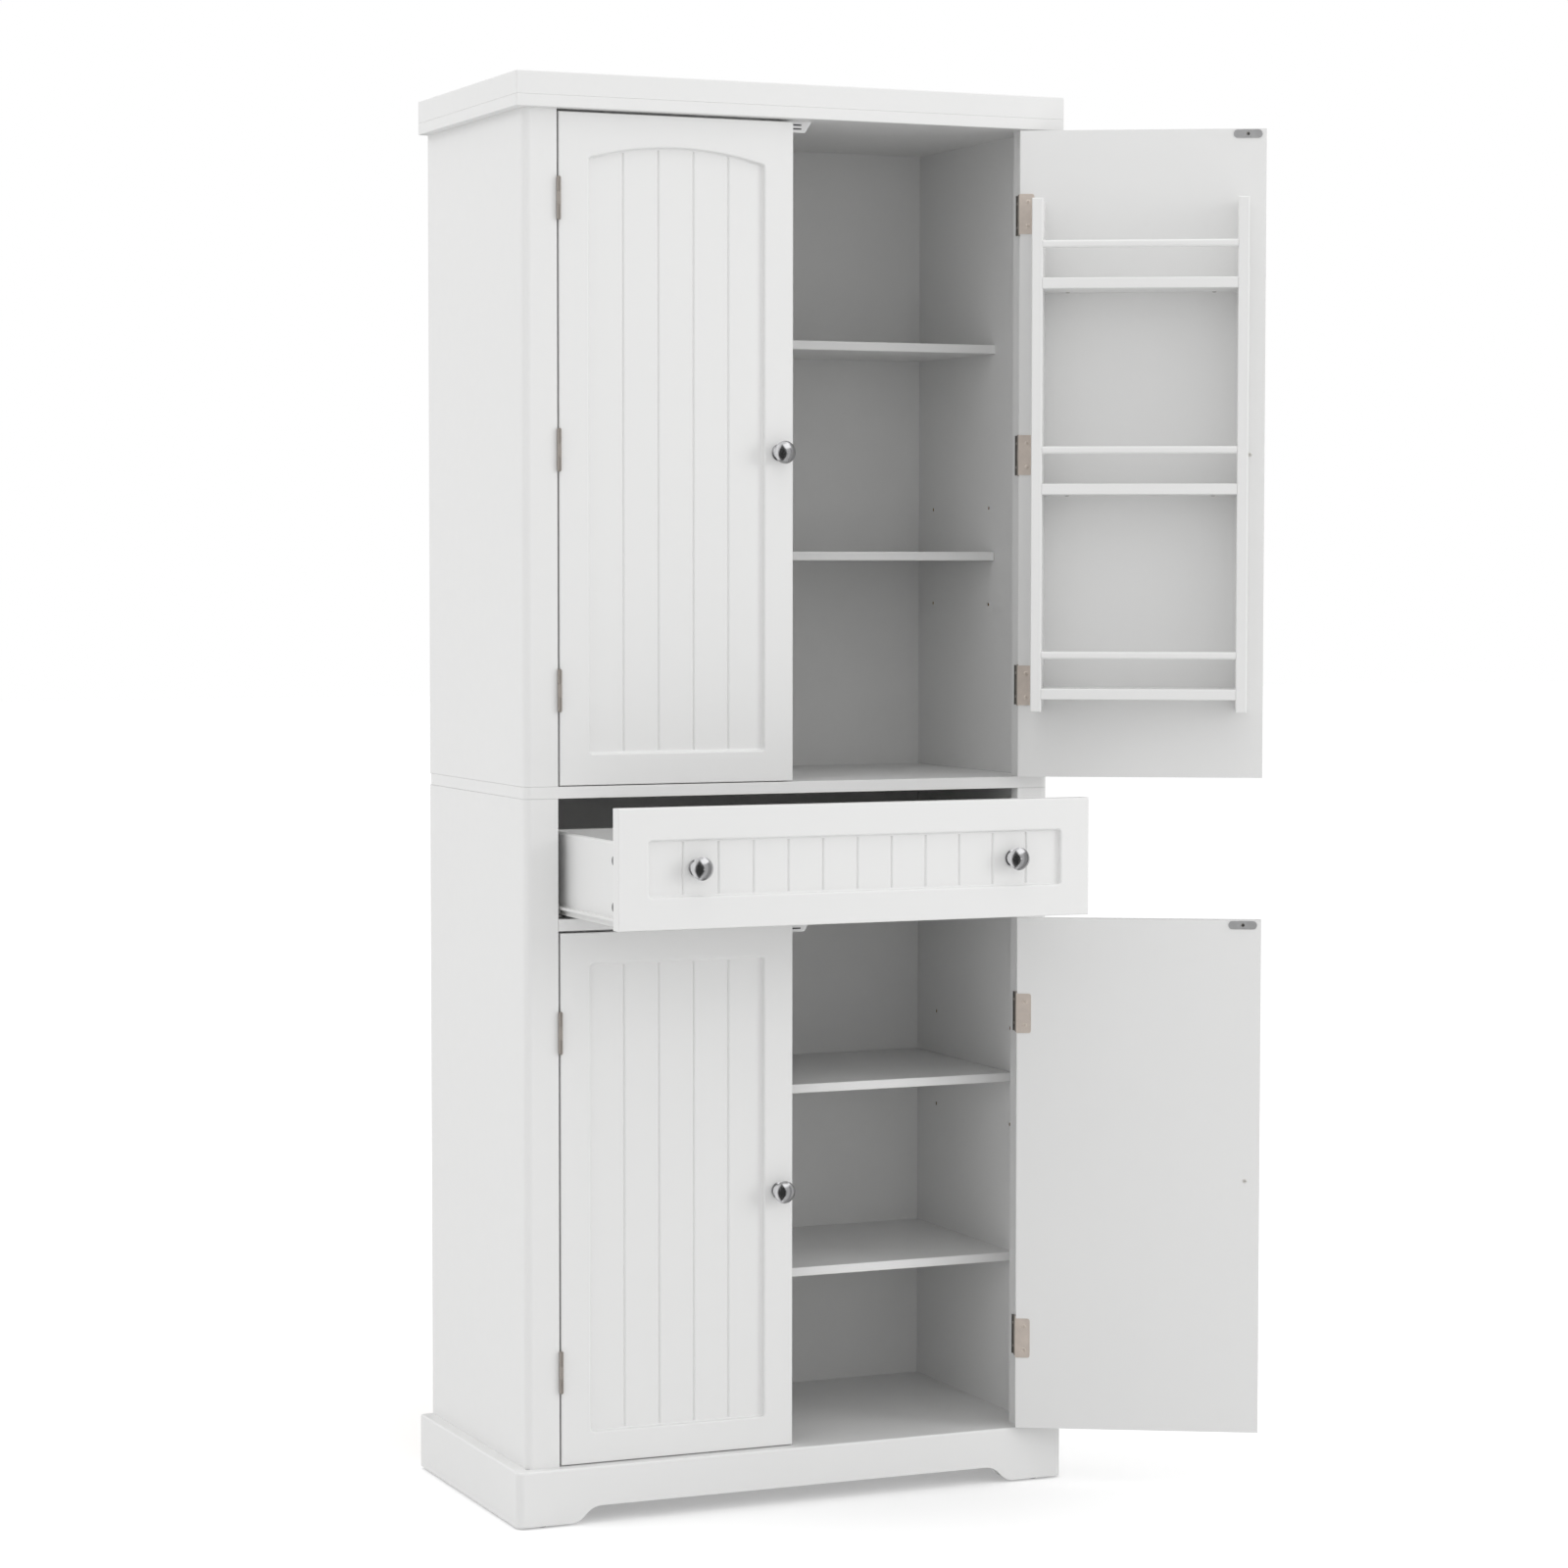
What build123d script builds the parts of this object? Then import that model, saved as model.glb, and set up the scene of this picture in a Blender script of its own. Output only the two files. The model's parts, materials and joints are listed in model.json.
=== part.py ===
from build123d import *
import os
from math import asin, cos, sin, sqrt

# Sizes in millimetres. X runs to the right, Y to the back, Z up.
# The origin is the middle of the body's footprint on the floor.

# Overall body
total_h = 1830.0
body_w = 735.0
body_d = 375.0
board_t = 15.0
back_t = 3.0
shelf_t = 12.0
rebate_w = 7.5
back_inset = 1.0
panel_play = 0.5
edge_soft = 1.5
seam_soft = 0.7

# Crown and plinth
crown_slab_t = 29.0
crown_overhang = 13.0
plinth_front_t = 15.0
plinth_side_t = 17.0
plinth_top = 73.5
plinth_corner = 10.0
glide_h = 3.0
glide_r = 5.0
glide_inset = 20.0
toe_cut_w = 630.0
toe_cut_h = 20.0
toe_curve_w = 44.0

# Face frame, mid board and drawer bay
stile_w = 45.0
stile_round = 10.0
mid_board_z = 923.5
drawer_bay_h = 152.5

# Doors, all routed from one thick board
door_t = 18.0
hinge_gap = 2.4
meeting_gap = 2.0
top_gap = 3.0
bottom_gap = 1.2
frame_margin = 40.0
recess_depth = 6.0
recess_soft = 2.5
recess_corner = 4.0
arch_rise = 16.5
plank_count = 5
groove_w = 4.0
groove_depth = 2.0
door_angle = 151.0

# Butt hinges that wrap round the door's hinge edge
hinge_h = 52.0
hinge_rise = 120.0
upper_hinge_drop = 108.0
lower_hinge_drop = 126.0
leaf_t = 1.0
leaf_flange = 18.3
leaf_round = 3.0
frame_leaf_w = 9.0
barrel_r = 2.7
pin_r = 1.3
pin_play = 0.05
pin_head_r = 2.0
pin_head_h = 1.0
knuckle_gap = 0.3
barrel_clear = 0.2

# Knobs
knob_inset = 19.0
lower_knob_drop = 5.0
knob_base_r = 11.0
knob_base_h = 1.8
knob_neck_r = 6.2
knob_head_r = 14.5
knob_len = 25.0
drawer_knob_x = 216.0

# Magnetic catches and their strike plates
catch_w = 66.0
catch_taper = 9.0
catch_h = 14.0
catch_d = 15.0
pole_t = 1.5
pole_near_x = 5.0
pole_far_x = 18.5
pole_pitch = 5.0
pole_proud = 0.5
catch_play = 0.3
strike_w = 37.5
strike_h = 11.0
strike_t = 1.2
strike_soft = 0.5
strike_centre_x = 25.0
strike_drop = 1.0

# Shelves and their pins
upper_fixed_share = 0.671
upper_adjust_share = 0.343
lower_adjust_share = 0.668
lower_fixed_share = 0.312
rack_to_shelf = 22.5
lower_shelf_setback = 71.5
pin_row_pitch = 65.0
shelf_pin_r = 2.5
shelf_pin_in = 9.0
shelf_pin_out = 7.0
shelf_pin_play = 0.05
shelf_pin_collar_r = 3.5
shelf_end_play = 1.0
upper_pin_from_front = 18.0
upper_pin_from_back = 46.0
lower_pin_from_front = 8.0
lower_pin_from_back = 61.0

# Rack on the upper right door
rack_t = 14.0
rack_depth = 92.0
rack_hinge_margin = 19.0
rack_latch_margin = 22.5
rack_bottom_margin = 88.5
rack_top_margin = 95.0
rack_foot = 16.0
rack_head = 116.0
rack_tiers = 3
rail_h = 9.5
rail_d = 12.0
rail_lift = 52.5

# Drawer and its roller runners
drawer_side_gap = 1.5
drawer_pull = 206.0
drawer_extra = 19.0
drawer_len = 290.0
drawer_board_t = 12.0
drawer_side_h = 102.0
drawer_planks = 12
drawer_bottom_t = 4.0
drawer_bottom_lift = 8.5
groove_in = 6.0
runner_gap = 12.5
steel_t = 1.2
runner_lift = 2.0
roller_r = 5.0
roller_w = 4.2
roller_play = 0.2
axle_r = 1.8
axle_head_r = 2.6
axle_head_w = 0.8
axle_play = 0.05
batten_h = 40.0
stop_h = 2.3

# Levels and planes that follow from the sizes above
front = -body_d / 2
rear = body_d / 2
half_w = body_w / 2
inner_w = half_w - board_t
jamb = half_w - stile_w
back_outer = rear - back_inset
back_face = back_outer - back_t
crown_board_z = total_h - crown_slab_t - board_t
mid_top = mid_board_z + board_t
deck_top = mid_board_z - drawer_bay_h
deck_z = deck_top - board_t
floor_z = plinth_top - board_t
stile_back = front + door_t
upper_shelf_front = stile_back + rack_depth + rack_to_shelf
lower_shelf_front = front + lower_shelf_setback

# Hinge axes stand in the gap beside each door, just proud of the face frame
axis_x = jamb - hinge_gap / 2
axis_y = front - barrel_r - barrel_clear

door_edge = jamb - hinge_gap
door_free = meeting_gap / 2
upper_door_z0 = mid_top + bottom_gap
upper_door_z1 = crown_board_z - top_gap
lower_door_z0 = plinth_top + bottom_gap
lower_door_z1 = deck_z - top_gap


def block(x0, x1, y0, y1, z0, z1):
    """Box between two opposite corners."""
    spot = Pos((x0 + x1) / 2, (y0 + y1) / 2, (z0 + z1) / 2)
    return spot * Box(x1 - x0, y1 - y0, z1 - z0)


def post_z(x, y, z0, z1, r):
    """Upright cylinder."""
    return Pos(x, y, (z0 + z1) / 2) * Cylinder(r, z1 - z0)


def post_x(x0, x1, y, z, r):
    """Cylinder lying along X."""
    return Pos((x0 + x1) / 2, y, z) * Rot(0, 90, 0) * Cylinder(r, x1 - x0)


def face_plane(y):
    """Upright drawing plane at depth y, looking at it from the front."""
    return Plane(origin=(0, y, 0), x_dir=(1, 0, 0), z_dir=(0, -1, 0))


def soften(shape, radius, keep):
    """Round the edges that the test picks."""
    return fillet([e for e in shape.edges() if keep(e.bounding_box())], radius)


def flat_in(lo, hi):
    return abs(hi - lo) < 1e-4


def upright_edge(x, y):
    """Test for a vertical edge near one place in plan."""
    def keep(b):
        return (flat_in(b.min.X, x) and flat_in(b.max.X, x)
                and flat_in(b.min.Y, y) and flat_in(b.max.Y, y))
    return keep


def level_edge(z, y_end):
    """Test for the edges at one height that lie ahead of a depth."""
    def keep(b):
        return flat_in(b.min.Z, z) and flat_in(b.max.Z, z) and b.min.Y < y_end - 0.5
    return keep


def front_edges(y):
    """Test for the level edges along a front."""
    def keep(b):
        return (flat_in(b.min.Y, y) and flat_in(b.max.Y, y)
                and flat_in(b.min.Z, b.max.Z))
    return keep


def mirrored(shape):
    return mirror(shape, about=Plane.YZ)


def swung(shape):
    """Turn a right-hand door piece about its hinge axis to the opened pose."""
    pivot = Pos(axis_x, axis_y, 0)
    return pivot * Rot(0, 0, door_angle) * Pos(-axis_x, -axis_y, 0) * shape


def pulled(shape):
    return Pos(0, -drawer_pull, 0) * shape


nodes = {}


def keep_node(name, *shapes):
    solids = []
    for shape in shapes:
        solids.extend(shape.solids())
    nodes[name] = solids


# Crown: a thick slab on a thinner board, both overhanging front and sides
crown_x = half_w + crown_overhang
crown_front = front - crown_overhang


def crown_layer(z0, z1, outer_z, seam_z):
    """One layer, rounded on its outer rim and only eased along the seam."""
    layer = block(-crown_x, crown_x, crown_front, rear, z0, z1)
    layer = soften(layer, edge_soft, upright_edge(-crown_x, crown_front))
    layer = soften(layer, edge_soft, upright_edge(crown_x, crown_front))
    layer = soften(layer, edge_soft, level_edge(outer_z, rear))
    return soften(layer, seam_soft, level_edge(seam_z, rear))


crown_rise = crown_board_z + board_t
top_board = crown_layer(crown_board_z, crown_rise, crown_board_z, crown_rise)
rebate_x = inner_w + rebate_w
top_rebate = block(-rebate_x, rebate_x, back_face, rear,
                   crown_board_z, crown_board_z + rebate_w)
keep_node("top_slab", crown_layer(crown_rise, total_h, total_h, crown_rise))
keep_node("top_board", top_board - top_rebate)


# Shelf heights and the rows of pin holes
upper_h = crown_board_z - mid_top
lower_h = deck_z - plinth_top
upper_fixed_z = mid_top + upper_fixed_share * upper_h
upper_adjust_z = mid_top + upper_adjust_share * upper_h
lower_adjust_z = plinth_top + lower_adjust_share * lower_h
lower_fixed_z = plinth_top + lower_fixed_share * lower_h
upper_pin_ys = [upper_shelf_front + upper_pin_from_front, back_face - upper_pin_from_back]
lower_pin_ys = [lower_shelf_front + lower_pin_from_front, back_face - lower_pin_from_back]
pin_bore_in = shelf_pin_in + 1.0


def side_panel(z0, z1, seam_z, rebate_z0, shelf_z, pin_ys):
    """Left side board with an eased end, the back's rebate and three rows of pin holes."""
    side = block(-half_w, -inner_w, stile_back, rear, z0, z1)

    def seam(b):
        outside = flat_in(b.min.X, -half_w) and flat_in(b.max.X, -half_w)
        return outside and flat_in(b.min.Z, seam_z) and flat_in(b.max.Z, seam_z)
    side = soften(side, seam_soft, seam)
    side -= block(-rebate_x, -inner_w, back_face, rear, rebate_z0, z1)
    for row in (-1, 0, 1):
        for y in pin_ys:
            z = shelf_z + row * pin_row_pitch
            side -= post_x(-inner_w - pin_bore_in, -inner_w, y, z,
                           shelf_pin_r + shelf_pin_play)
    return side


upper_side = side_panel(mid_top, crown_board_z, mid_top, mid_top, upper_adjust_z,
                        upper_pin_ys)
lower_side = side_panel(glide_h, mid_board_z, mid_board_z, floor_z, lower_adjust_z,
                        lower_pin_ys)
keep_node("upper_left_side", upper_side)
keep_node("upper_right_side", mirrored(upper_side))
keep_node("lower_left_side", lower_side)
keep_node("lower_right_side", mirrored(lower_side))


# Face frame stiles with a large round on the outer corner
def stile(z0, z1, seam_z):
    post = block(-half_w, -jamb, front, stile_back, z0, z1)
    post = soften(post, stile_round, upright_edge(-half_w, front))
    post = soften(post, edge_soft, upright_edge(-jamb, front))
    return soften(post, seam_soft, level_edge(seam_z, stile_back))


upper_stile = stile(mid_top, crown_board_z, mid_top)
lower_stile = stile(glide_h, mid_board_z, mid_board_z)
keep_node("upper_left_stile", upper_stile)
keep_node("upper_right_stile", mirrored(upper_stile))
keep_node("lower_left_stile", lower_stile)
keep_node("lower_right_stile", mirrored(lower_stile))


# Boards across the body
mid_board = block(-half_w, half_w, front, back_face, mid_board_z, mid_top)
mid_board = soften(mid_board, stile_round, upright_edge(-half_w, front))
mid_board = soften(mid_board, stile_round, upright_edge(half_w, front))
mid_board = soften(mid_board, seam_soft, level_edge(mid_board_z, back_face))
mid_board = soften(mid_board, seam_soft, level_edge(mid_top, back_face))
keep_node("mid_board", mid_board)


def notched_board(z0, z1):
    """Board between the sides, notched round both stiles to reach the front."""
    board = block(-inner_w, inner_w, stile_back, back_face, z0, z1)
    board += block(-jamb, jamb, front, stile_back, z0, z1)
    return soften(board, seam_soft, front_edges(front))


keep_node("drawer_deck", notched_board(deck_z, deck_top))
keep_node("bottom_board", notched_board(floor_z, plinth_top))

back_x = rebate_x - panel_play
back_split = mid_board_z + board_t / 2
upper_back = block(-back_x, back_x, back_face, back_outer,
                   back_split + panel_play, crown_board_z + rebate_w - panel_play)
lower_back = block(-back_x, back_x, back_face, back_outer,
                   floor_z, back_split - panel_play)
keep_node("upper_back_panel", upper_back)
keep_node("lower_back_panel", lower_back)


# Plinth: mitred boards round front and sides, ogee cut-out below the front
plinth_x = half_w + plinth_side_t
plinth_front_y = front - plinth_front_t
ring = block(-plinth_x, plinth_x, plinth_front_y, rear, glide_h, plinth_top)
ring = soften(ring, plinth_corner, upright_edge(-plinth_x, plinth_front_y))
ring = soften(ring, plinth_corner, upright_edge(plinth_x, plinth_front_y))


def plinth_rim(b):
    level = flat_in(b.min.Z, plinth_top) and flat_in(b.max.Z, plinth_top)
    return level and b.min.Y < rear - 1.0


ring = soften(ring, edge_soft * 2, plinth_rim)
ring -= block(-half_w, half_w, front, rear, glide_h, plinth_top)

foot_x = toe_cut_w / 2
foot_in = foot_x - toe_curve_w
foot_mid = foot_x - toe_curve_w / 2
toe_low = glide_h - 0.5
toe_high = glide_h + toe_cut_h
toe_mid = (toe_low + toe_high) / 2
toe_edges = [
    TangentArc((-foot_x, toe_low), (-foot_mid, toe_mid), tangent=(1, 0)),
    TangentArc((-foot_in, toe_high), (-foot_mid, toe_mid), tangent=(-1, 0)),
    Line((-foot_in, toe_high), (foot_in, toe_high)),
    TangentArc((foot_in, toe_high), (foot_mid, toe_mid), tangent=(1, 0)),
    TangentArc((foot_x, toe_low), (foot_mid, toe_mid), tangent=(-1, 0)),
    Line((foot_x, toe_low), (-foot_x, toe_low)),
]
toe_face = face_plane(front + 1.0) * make_face(toe_edges)
ring -= extrude(toe_face, amount=plinth_front_t + 2.0)


def plan_prism(points):
    outline = Plane.XY.offset(glide_h) * make_face(Polyline(*points, close=True))
    return extrude(outline, amount=plinth_top - glide_h)


front_wedge = plan_prism([(-plinth_x, plinth_front_y), (plinth_x, plinth_front_y),
                          (half_w, front), (-half_w, front)])
left_wedge = plan_prism([(-plinth_x, plinth_front_y), (-half_w, front),
                         (-half_w, rear), (-plinth_x, rear)])
plinth_left = ring & left_wedge
keep_node("plinth_front", ring & front_wedge)
keep_node("plinth_left", plinth_left)
keep_node("plinth_right", mirrored(plinth_left))

# Glides straddle the plinth boards and what stands behind them
glide_front_y = front - glide_r / 3
glide_back_y = rear - glide_inset - glide_r * 2
glides = []
for s in (-1, 1):
    glides.append(post_z(s * (half_w - glide_inset), glide_front_y, 0, glide_h, glide_r))
    glides.append(post_z(s * (half_w + glide_r / 3), glide_back_y, 0, glide_h, glide_r))
keep_node("foot_glides", *glides)


# Shelves: fixed ones run wall to wall, adjustable ones sit over round pins
def fixed_shelf(z, y0):
    shelf = block(-inner_w, inner_w, y0, back_face, z - shelf_t / 2, z + shelf_t / 2)
    return soften(shelf, edge_soft, front_edges(y0))


def loose_shelf(z, y0, pin_ys):
    """Shelf with slots under its ends that drop over the pins."""
    end = inner_w - shelf_end_play
    shelf = block(-end, end, y0, back_face - shelf_end_play,
                  z - shelf_t / 2, z + shelf_t / 2)
    shelf = soften(shelf, edge_soft, front_edges(y0))
    reach = inner_w - shelf_pin_out - 1.0
    half = shelf_pin_r + shelf_pin_play * 4
    for s in (-1, 1):
        for y in pin_ys:
            x0, x1 = sorted((s * reach, s * end))
            shelf -= block(x0, x1, y - half, y + half, z - shelf_t / 2, z + shelf_pin_r)
    return shelf


def shelf_pin(side, y, z):
    """Round pin with a thin collar that stands on the side board."""
    x0, x1 = sorted((side * (inner_w + shelf_pin_in), side * (inner_w - shelf_pin_out)))
    c0, c1 = sorted((side * inner_w, side * (inner_w - shelf_end_play)))
    pin = post_x(x0, x1, y, z, shelf_pin_r)
    collar = post_x(c0, c1, y, z, shelf_pin_collar_r)
    return pin + collar


keep_node("upper_fixed_shelf", fixed_shelf(upper_fixed_z, upper_shelf_front))
keep_node("lower_fixed_shelf", fixed_shelf(lower_fixed_z, lower_shelf_front))
keep_node("upper_adjustable_shelf",
          loose_shelf(upper_adjust_z, upper_shelf_front, upper_pin_ys))
keep_node("lower_adjustable_shelf",
          loose_shelf(lower_adjust_z, lower_shelf_front, lower_pin_ys))
shelf_pins = []
for s in (-1, 1):
    for y in upper_pin_ys:
        shelf_pins.append(shelf_pin(s, y, upper_adjust_z))
    for y in lower_pin_ys:
        shelf_pins.append(shelf_pin(s, y, lower_adjust_z))
keep_node("shelf_pins", *shelf_pins)


# Routed fronts: recessed planked panel inside a flat margin
def routed_front(x0, x1, z0, z1, planks, rise):
    slab = block(x0, x1, front, stile_back, z0, z1)

    def rim(b):
        return flat_in(b.min.Y, front) and flat_in(b.max.Y, front)
    slab = soften(slab, edge_soft, rim)
    rx0, rx1 = x0 + frame_margin, x1 - frame_margin
    rz0, rz1 = z0 + frame_margin, z1 - frame_margin - rise
    sides = Polyline((rx0, rz1), (rx0, rz0), (rx1, rz0), (rx1, rz1))
    if rise:
        top = ThreePointArc((rx1, rz1), ((rx0 + rx1) / 2, rz1 + rise), (rx0, rz1))
    else:
        top = Line((rx1, rz1), (rx0, rz1))
    sharp = make_face([sides, top])
    outline = fillet(sharp.vertices(), recess_corner)
    floor_y = front + recess_depth
    slab -= extrude(face_plane(floor_y) * outline, amount=recess_depth + 1.0)

    def lip(b):
        inside = b.min.X > x0 + 10 and b.max.X < x1 - 10
        level = flat_in(b.min.Y, b.max.Y)
        return inside and level and b.max.Y < floor_y + 0.01
    slab = soften(slab, recess_soft, lip)
    pitch = (rx1 - rx0) / planks
    flat = offset(sharp, -recess_soft, kind=Kind.INTERSECTION)
    reach = extrude(face_plane(floor_y + groove_depth) * flat, amount=groove_depth)
    for i in range(1, planks):
        x = rx0 + i * pitch
        vee = make_face(Polyline((x - groove_w / 2, floor_y), (x + groove_w / 2, floor_y),
                                 (x, floor_y + groove_depth), close=True))
        vee = extrude(Plane.XY.offset(z0) * vee, amount=z1 - z0)
        slab -= vee & reach
    return slab


def knob(x, y, z):
    """Turned mushroom knob that stands on a front face, head towards the front."""
    head_z = knob_len * 0.68
    rim_z = head_z * 1.09
    dome_h = knob_len - rim_z
    dome_r = (knob_head_r ** 2 + dome_h ** 2) / (2 * dome_h)
    half_turn = asin(knob_head_r / dome_r) / 2
    dome_mid = (dome_r * sin(half_turn), knob_len - dome_r + dome_r * cos(half_turn))
    profile = [
        Polyline((0, 0), (knob_base_r, 0), (knob_base_r, knob_base_h),
                 (knob_base_r * 0.85, knob_base_h * 1.6)),
        ThreePointArc((knob_base_r * 0.85, knob_base_h * 1.6),
                      (knob_neck_r, knob_len * 0.36), (knob_head_r * 0.68, head_z * 0.9)),
        Polyline((knob_head_r * 0.68, head_z * 0.9), (knob_head_r * 0.96, head_z),
                 (knob_head_r, rim_z)),
        ThreePointArc((knob_head_r, rim_z), dome_mid, (0, knob_len)),
        Line((0, knob_len), (0, 0)),
    ]
    turned = revolve(Plane.XZ * make_face(profile), axis=Axis.Z)
    return Pos(x, y, z) * Rot(90, 0, 0) * turned


third = hinge_h / 3


def knuckles(zc, low, high):
    """Barrel pieces between pairs of heights measured from the hinge's middle."""
    body = None
    for a, b in zip(low, high):
        piece = post_z(-axis_x, axis_y, zc + a, zc + b, barrel_r)
        body = piece if body is None else body + piece
    return body


def leaf_neck(x0, zc, a, b):
    return block(x0, x0 + leaf_t, axis_y, front + 2 * leaf_t, zc + a, zc + b)


def pin_bore(zc):
    return post_z(-axis_x, axis_y, zc - hinge_h, zc + hinge_h, pin_r + pin_play)


leaf_start = front + barrel_clear * 2


def frame_leaf(zc):
    """Left-hand leaf on the stile's inner edge, with the two outer knuckles."""
    h = hinge_h / 2
    inner = third / 2 + knuckle_gap / 2
    plate = block(-jamb, -jamb + leaf_t, leaf_start, leaf_start + frame_leaf_w,
                  zc - h, zc + h)
    leaf = plate + knuckles(zc, (-h, inner), (-inner, h))
    leaf += leaf_neck(-jamb, zc, -h, -inner)
    leaf += leaf_neck(-jamb, zc, inner, h)
    return leaf - pin_bore(zc)


def door_leaf(zc):
    """Left-hand leaf round the door's hinge edge onto its inner face."""
    h = hinge_h / 2
    inner = third / 2 - knuckle_gap / 2
    edge_x = -door_edge
    plate = block(edge_x - leaf_t, edge_x, leaf_start, stile_back + leaf_t, zc - h, zc + h)
    flange = block(edge_x - leaf_t, edge_x + leaf_flange, stile_back, stile_back + leaf_t,
                   zc - h, zc + h)

    def corners(b):
        along = flat_in(b.min.Z, b.max.Z) and flat_in(b.min.X, b.max.X)
        return along and flat_in(b.min.X, edge_x + leaf_flange)
    flange = soften(flange, leaf_round, corners)
    leaf = plate + flange + knuckles(zc, (-inner,), (inner,))
    leaf += leaf_neck(edge_x - leaf_t, zc, -inner, inner)
    return leaf - pin_bore(zc)


def hinge_pin(zc):
    """Pin with a small head that bears on each outer knuckle."""
    h = hinge_h / 2
    pin = post_z(-axis_x, axis_y, zc - h, zc + h, pin_r)
    pin += post_z(-axis_x, axis_y, zc - h - pin_head_h, zc - h, pin_head_r)
    return pin + post_z(-axis_x, axis_y, zc + h, zc + h + pin_head_h, pin_head_r)


def strike_plate(z1):
    """Left-hand steel plate with round ends on the door's inner face."""
    mid_z = z1 - strike_drop - strike_h / 2
    pill = Pos(-strike_centre_x, mid_z) * SlotOverall(strike_w, strike_h)
    inner_y = stile_back + strike_t
    plate = extrude(face_plane(inner_y) * pill, amount=strike_t)

    def rim(b):
        return flat_in(b.min.Y, inner_y) and flat_in(b.max.Y, inner_y)
    return soften(plate, strike_soft, rim)


# Every door is drawn as a closed left-hand door
upper_knob_z = (upper_door_z0 + upper_door_z1) / 2
upper_zs = [upper_door_z0 + hinge_rise, upper_knob_z, upper_door_z1 - upper_hinge_drop]
lower_zs = [lower_door_z0 + hinge_rise, lower_door_z1 - lower_hinge_drop]
lower_knob_z = (lower_door_z0 + lower_door_z1) / 2 - lower_knob_drop
knob_x = -door_free - knob_inset


def as_left(shape):
    return shape


def as_right(shape):
    return swung(mirrored(shape))


def keep_door(level, z0, z1, rise, zs, knob_z):
    slab = routed_front(-door_edge, -door_free, z0, z1, plank_count, rise)
    leaves = [door_leaf(z) for z in zs]
    handle = knob(knob_x, front, knob_z)
    plate = strike_plate(z1)
    for side, place in (("left", as_left), ("right", as_right)):
        name = level + "_" + side
        keep_node(name + "_door", place(slab))
        keep_node(name + "_hinge_leaves", *[place(leaf) for leaf in leaves])
        keep_node(name + "_knob", place(handle))
        keep_node(name + "_strike_plate", place(plate))


keep_door("upper", upper_door_z0, upper_door_z1, arch_rise, upper_zs, upper_knob_z)
keep_door("lower", lower_door_z0, lower_door_z1, 0.0, lower_zs, lower_knob_z)

frame_leaves = []
hinge_pins = []
for z in upper_zs + lower_zs:
    leaf = frame_leaf(z)
    pin = hinge_pin(z)
    frame_leaves.extend([leaf, mirrored(leaf)])
    hinge_pins.extend([pin, mirrored(pin)])
keep_node("hinge_frame_leaves", *frame_leaves)
keep_node("hinge_pins", *hinge_pins)


# Double magnetic catches under the crown board and under the drawer deck
catch_y = stile_back + strike_t + catch_play + pole_proud


def pole_plates(z1):
    """Two level steel plates for each door, one above the other."""
    plates = []
    for s in (-1, 1):
        x0, x1 = sorted((s * pole_near_x, s * pole_far_x))
        for step in (-0.5, 0.5):
            z = z1 - catch_h / 2 + step * pole_pitch
            plates.append(block(x0, x1, catch_y - pole_proud, catch_y + catch_d / 2,
                                z - pole_t / 2, z + pole_t / 2))
    return plates


def catch_housing(z1):
    top = catch_w / 2
    low = top - catch_taper
    outline = make_face(Polyline((-top, z1), (-low, z1 - catch_h), (low, z1 - catch_h),
                                 (top, z1), close=True))
    housing = extrude(face_plane(catch_y + catch_d) * outline, amount=catch_d)
    for plate in pole_plates(z1):
        housing -= plate
    return housing


keep_node("catch_housings", catch_housing(crown_board_z), catch_housing(deck_z))
keep_node("catch_pole_plates", *pole_plates(crown_board_z), *pole_plates(deck_z))


# Rack on the inner face of the upper right door, drawn with the door closed
rack_x1 = door_edge - rack_hinge_margin
rack_x0 = door_free + rack_latch_margin
rack_z0 = upper_door_z0 + rack_bottom_margin
rack_z1 = upper_door_z1 - rack_top_margin
rack_y1 = stile_back + rack_depth
rack_pitch = (rack_z1 - rack_z0 - rack_foot - rack_head) / (rack_tiers - 1)


def rack_front(b):
    return flat_in(b.min.Y, rack_y1) and flat_in(b.max.Y, rack_y1)


def rack_upright(x0, x1):
    upright = block(x0, x1, stile_back, rack_y1, rack_z0, rack_z1)
    return swung(soften(upright, edge_soft, rack_front))


keep_node("rack_hinge_side", rack_upright(rack_x1 - rack_t, rack_x1))
keep_node("rack_latch_side", rack_upright(rack_x0, rack_x0 + rack_t))
rack_shelves = []
rack_rails = []
for i in range(rack_tiers):
    z = rack_z0 + rack_foot + i * rack_pitch
    shelf = block(rack_x0 + rack_t, rack_x1 - rack_t, stile_back, rack_y1, z, z + rack_t)
    rail = block(rack_x0 + rack_t, rack_x1 - rack_t, rack_y1 - rail_d, rack_y1,
                 z + rail_lift, z + rail_lift + rail_h)

    def long_edges(b):
        return b.max.X - b.min.X > rack_t
    rack_shelves.append(swung(soften(shelf, edge_soft, front_edges(rack_y1))))
    rack_rails.append(swung(soften(rail, edge_soft * 2, long_edges)))
keep_node("rack_shelves", *rack_shelves)
keep_node("rack_rails", *rack_rails)


# Runner levels, from the deck up
flange_z = deck_top + runner_lift
flange_top = flange_z + steel_t
rear_roller_z = flange_top + roller_play + roller_r
run_z = rear_roller_z + roller_r + roller_play * 2
front_roller_z = run_z - roller_play - roller_r
member_z = flange_top + roller_play * 4
member_top = run_z + steel_t
side_z = member_z + steel_t
side_x = jamb - runner_gap
side_in = side_x - drawer_board_t
box_back = stile_back + drawer_len

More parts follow.
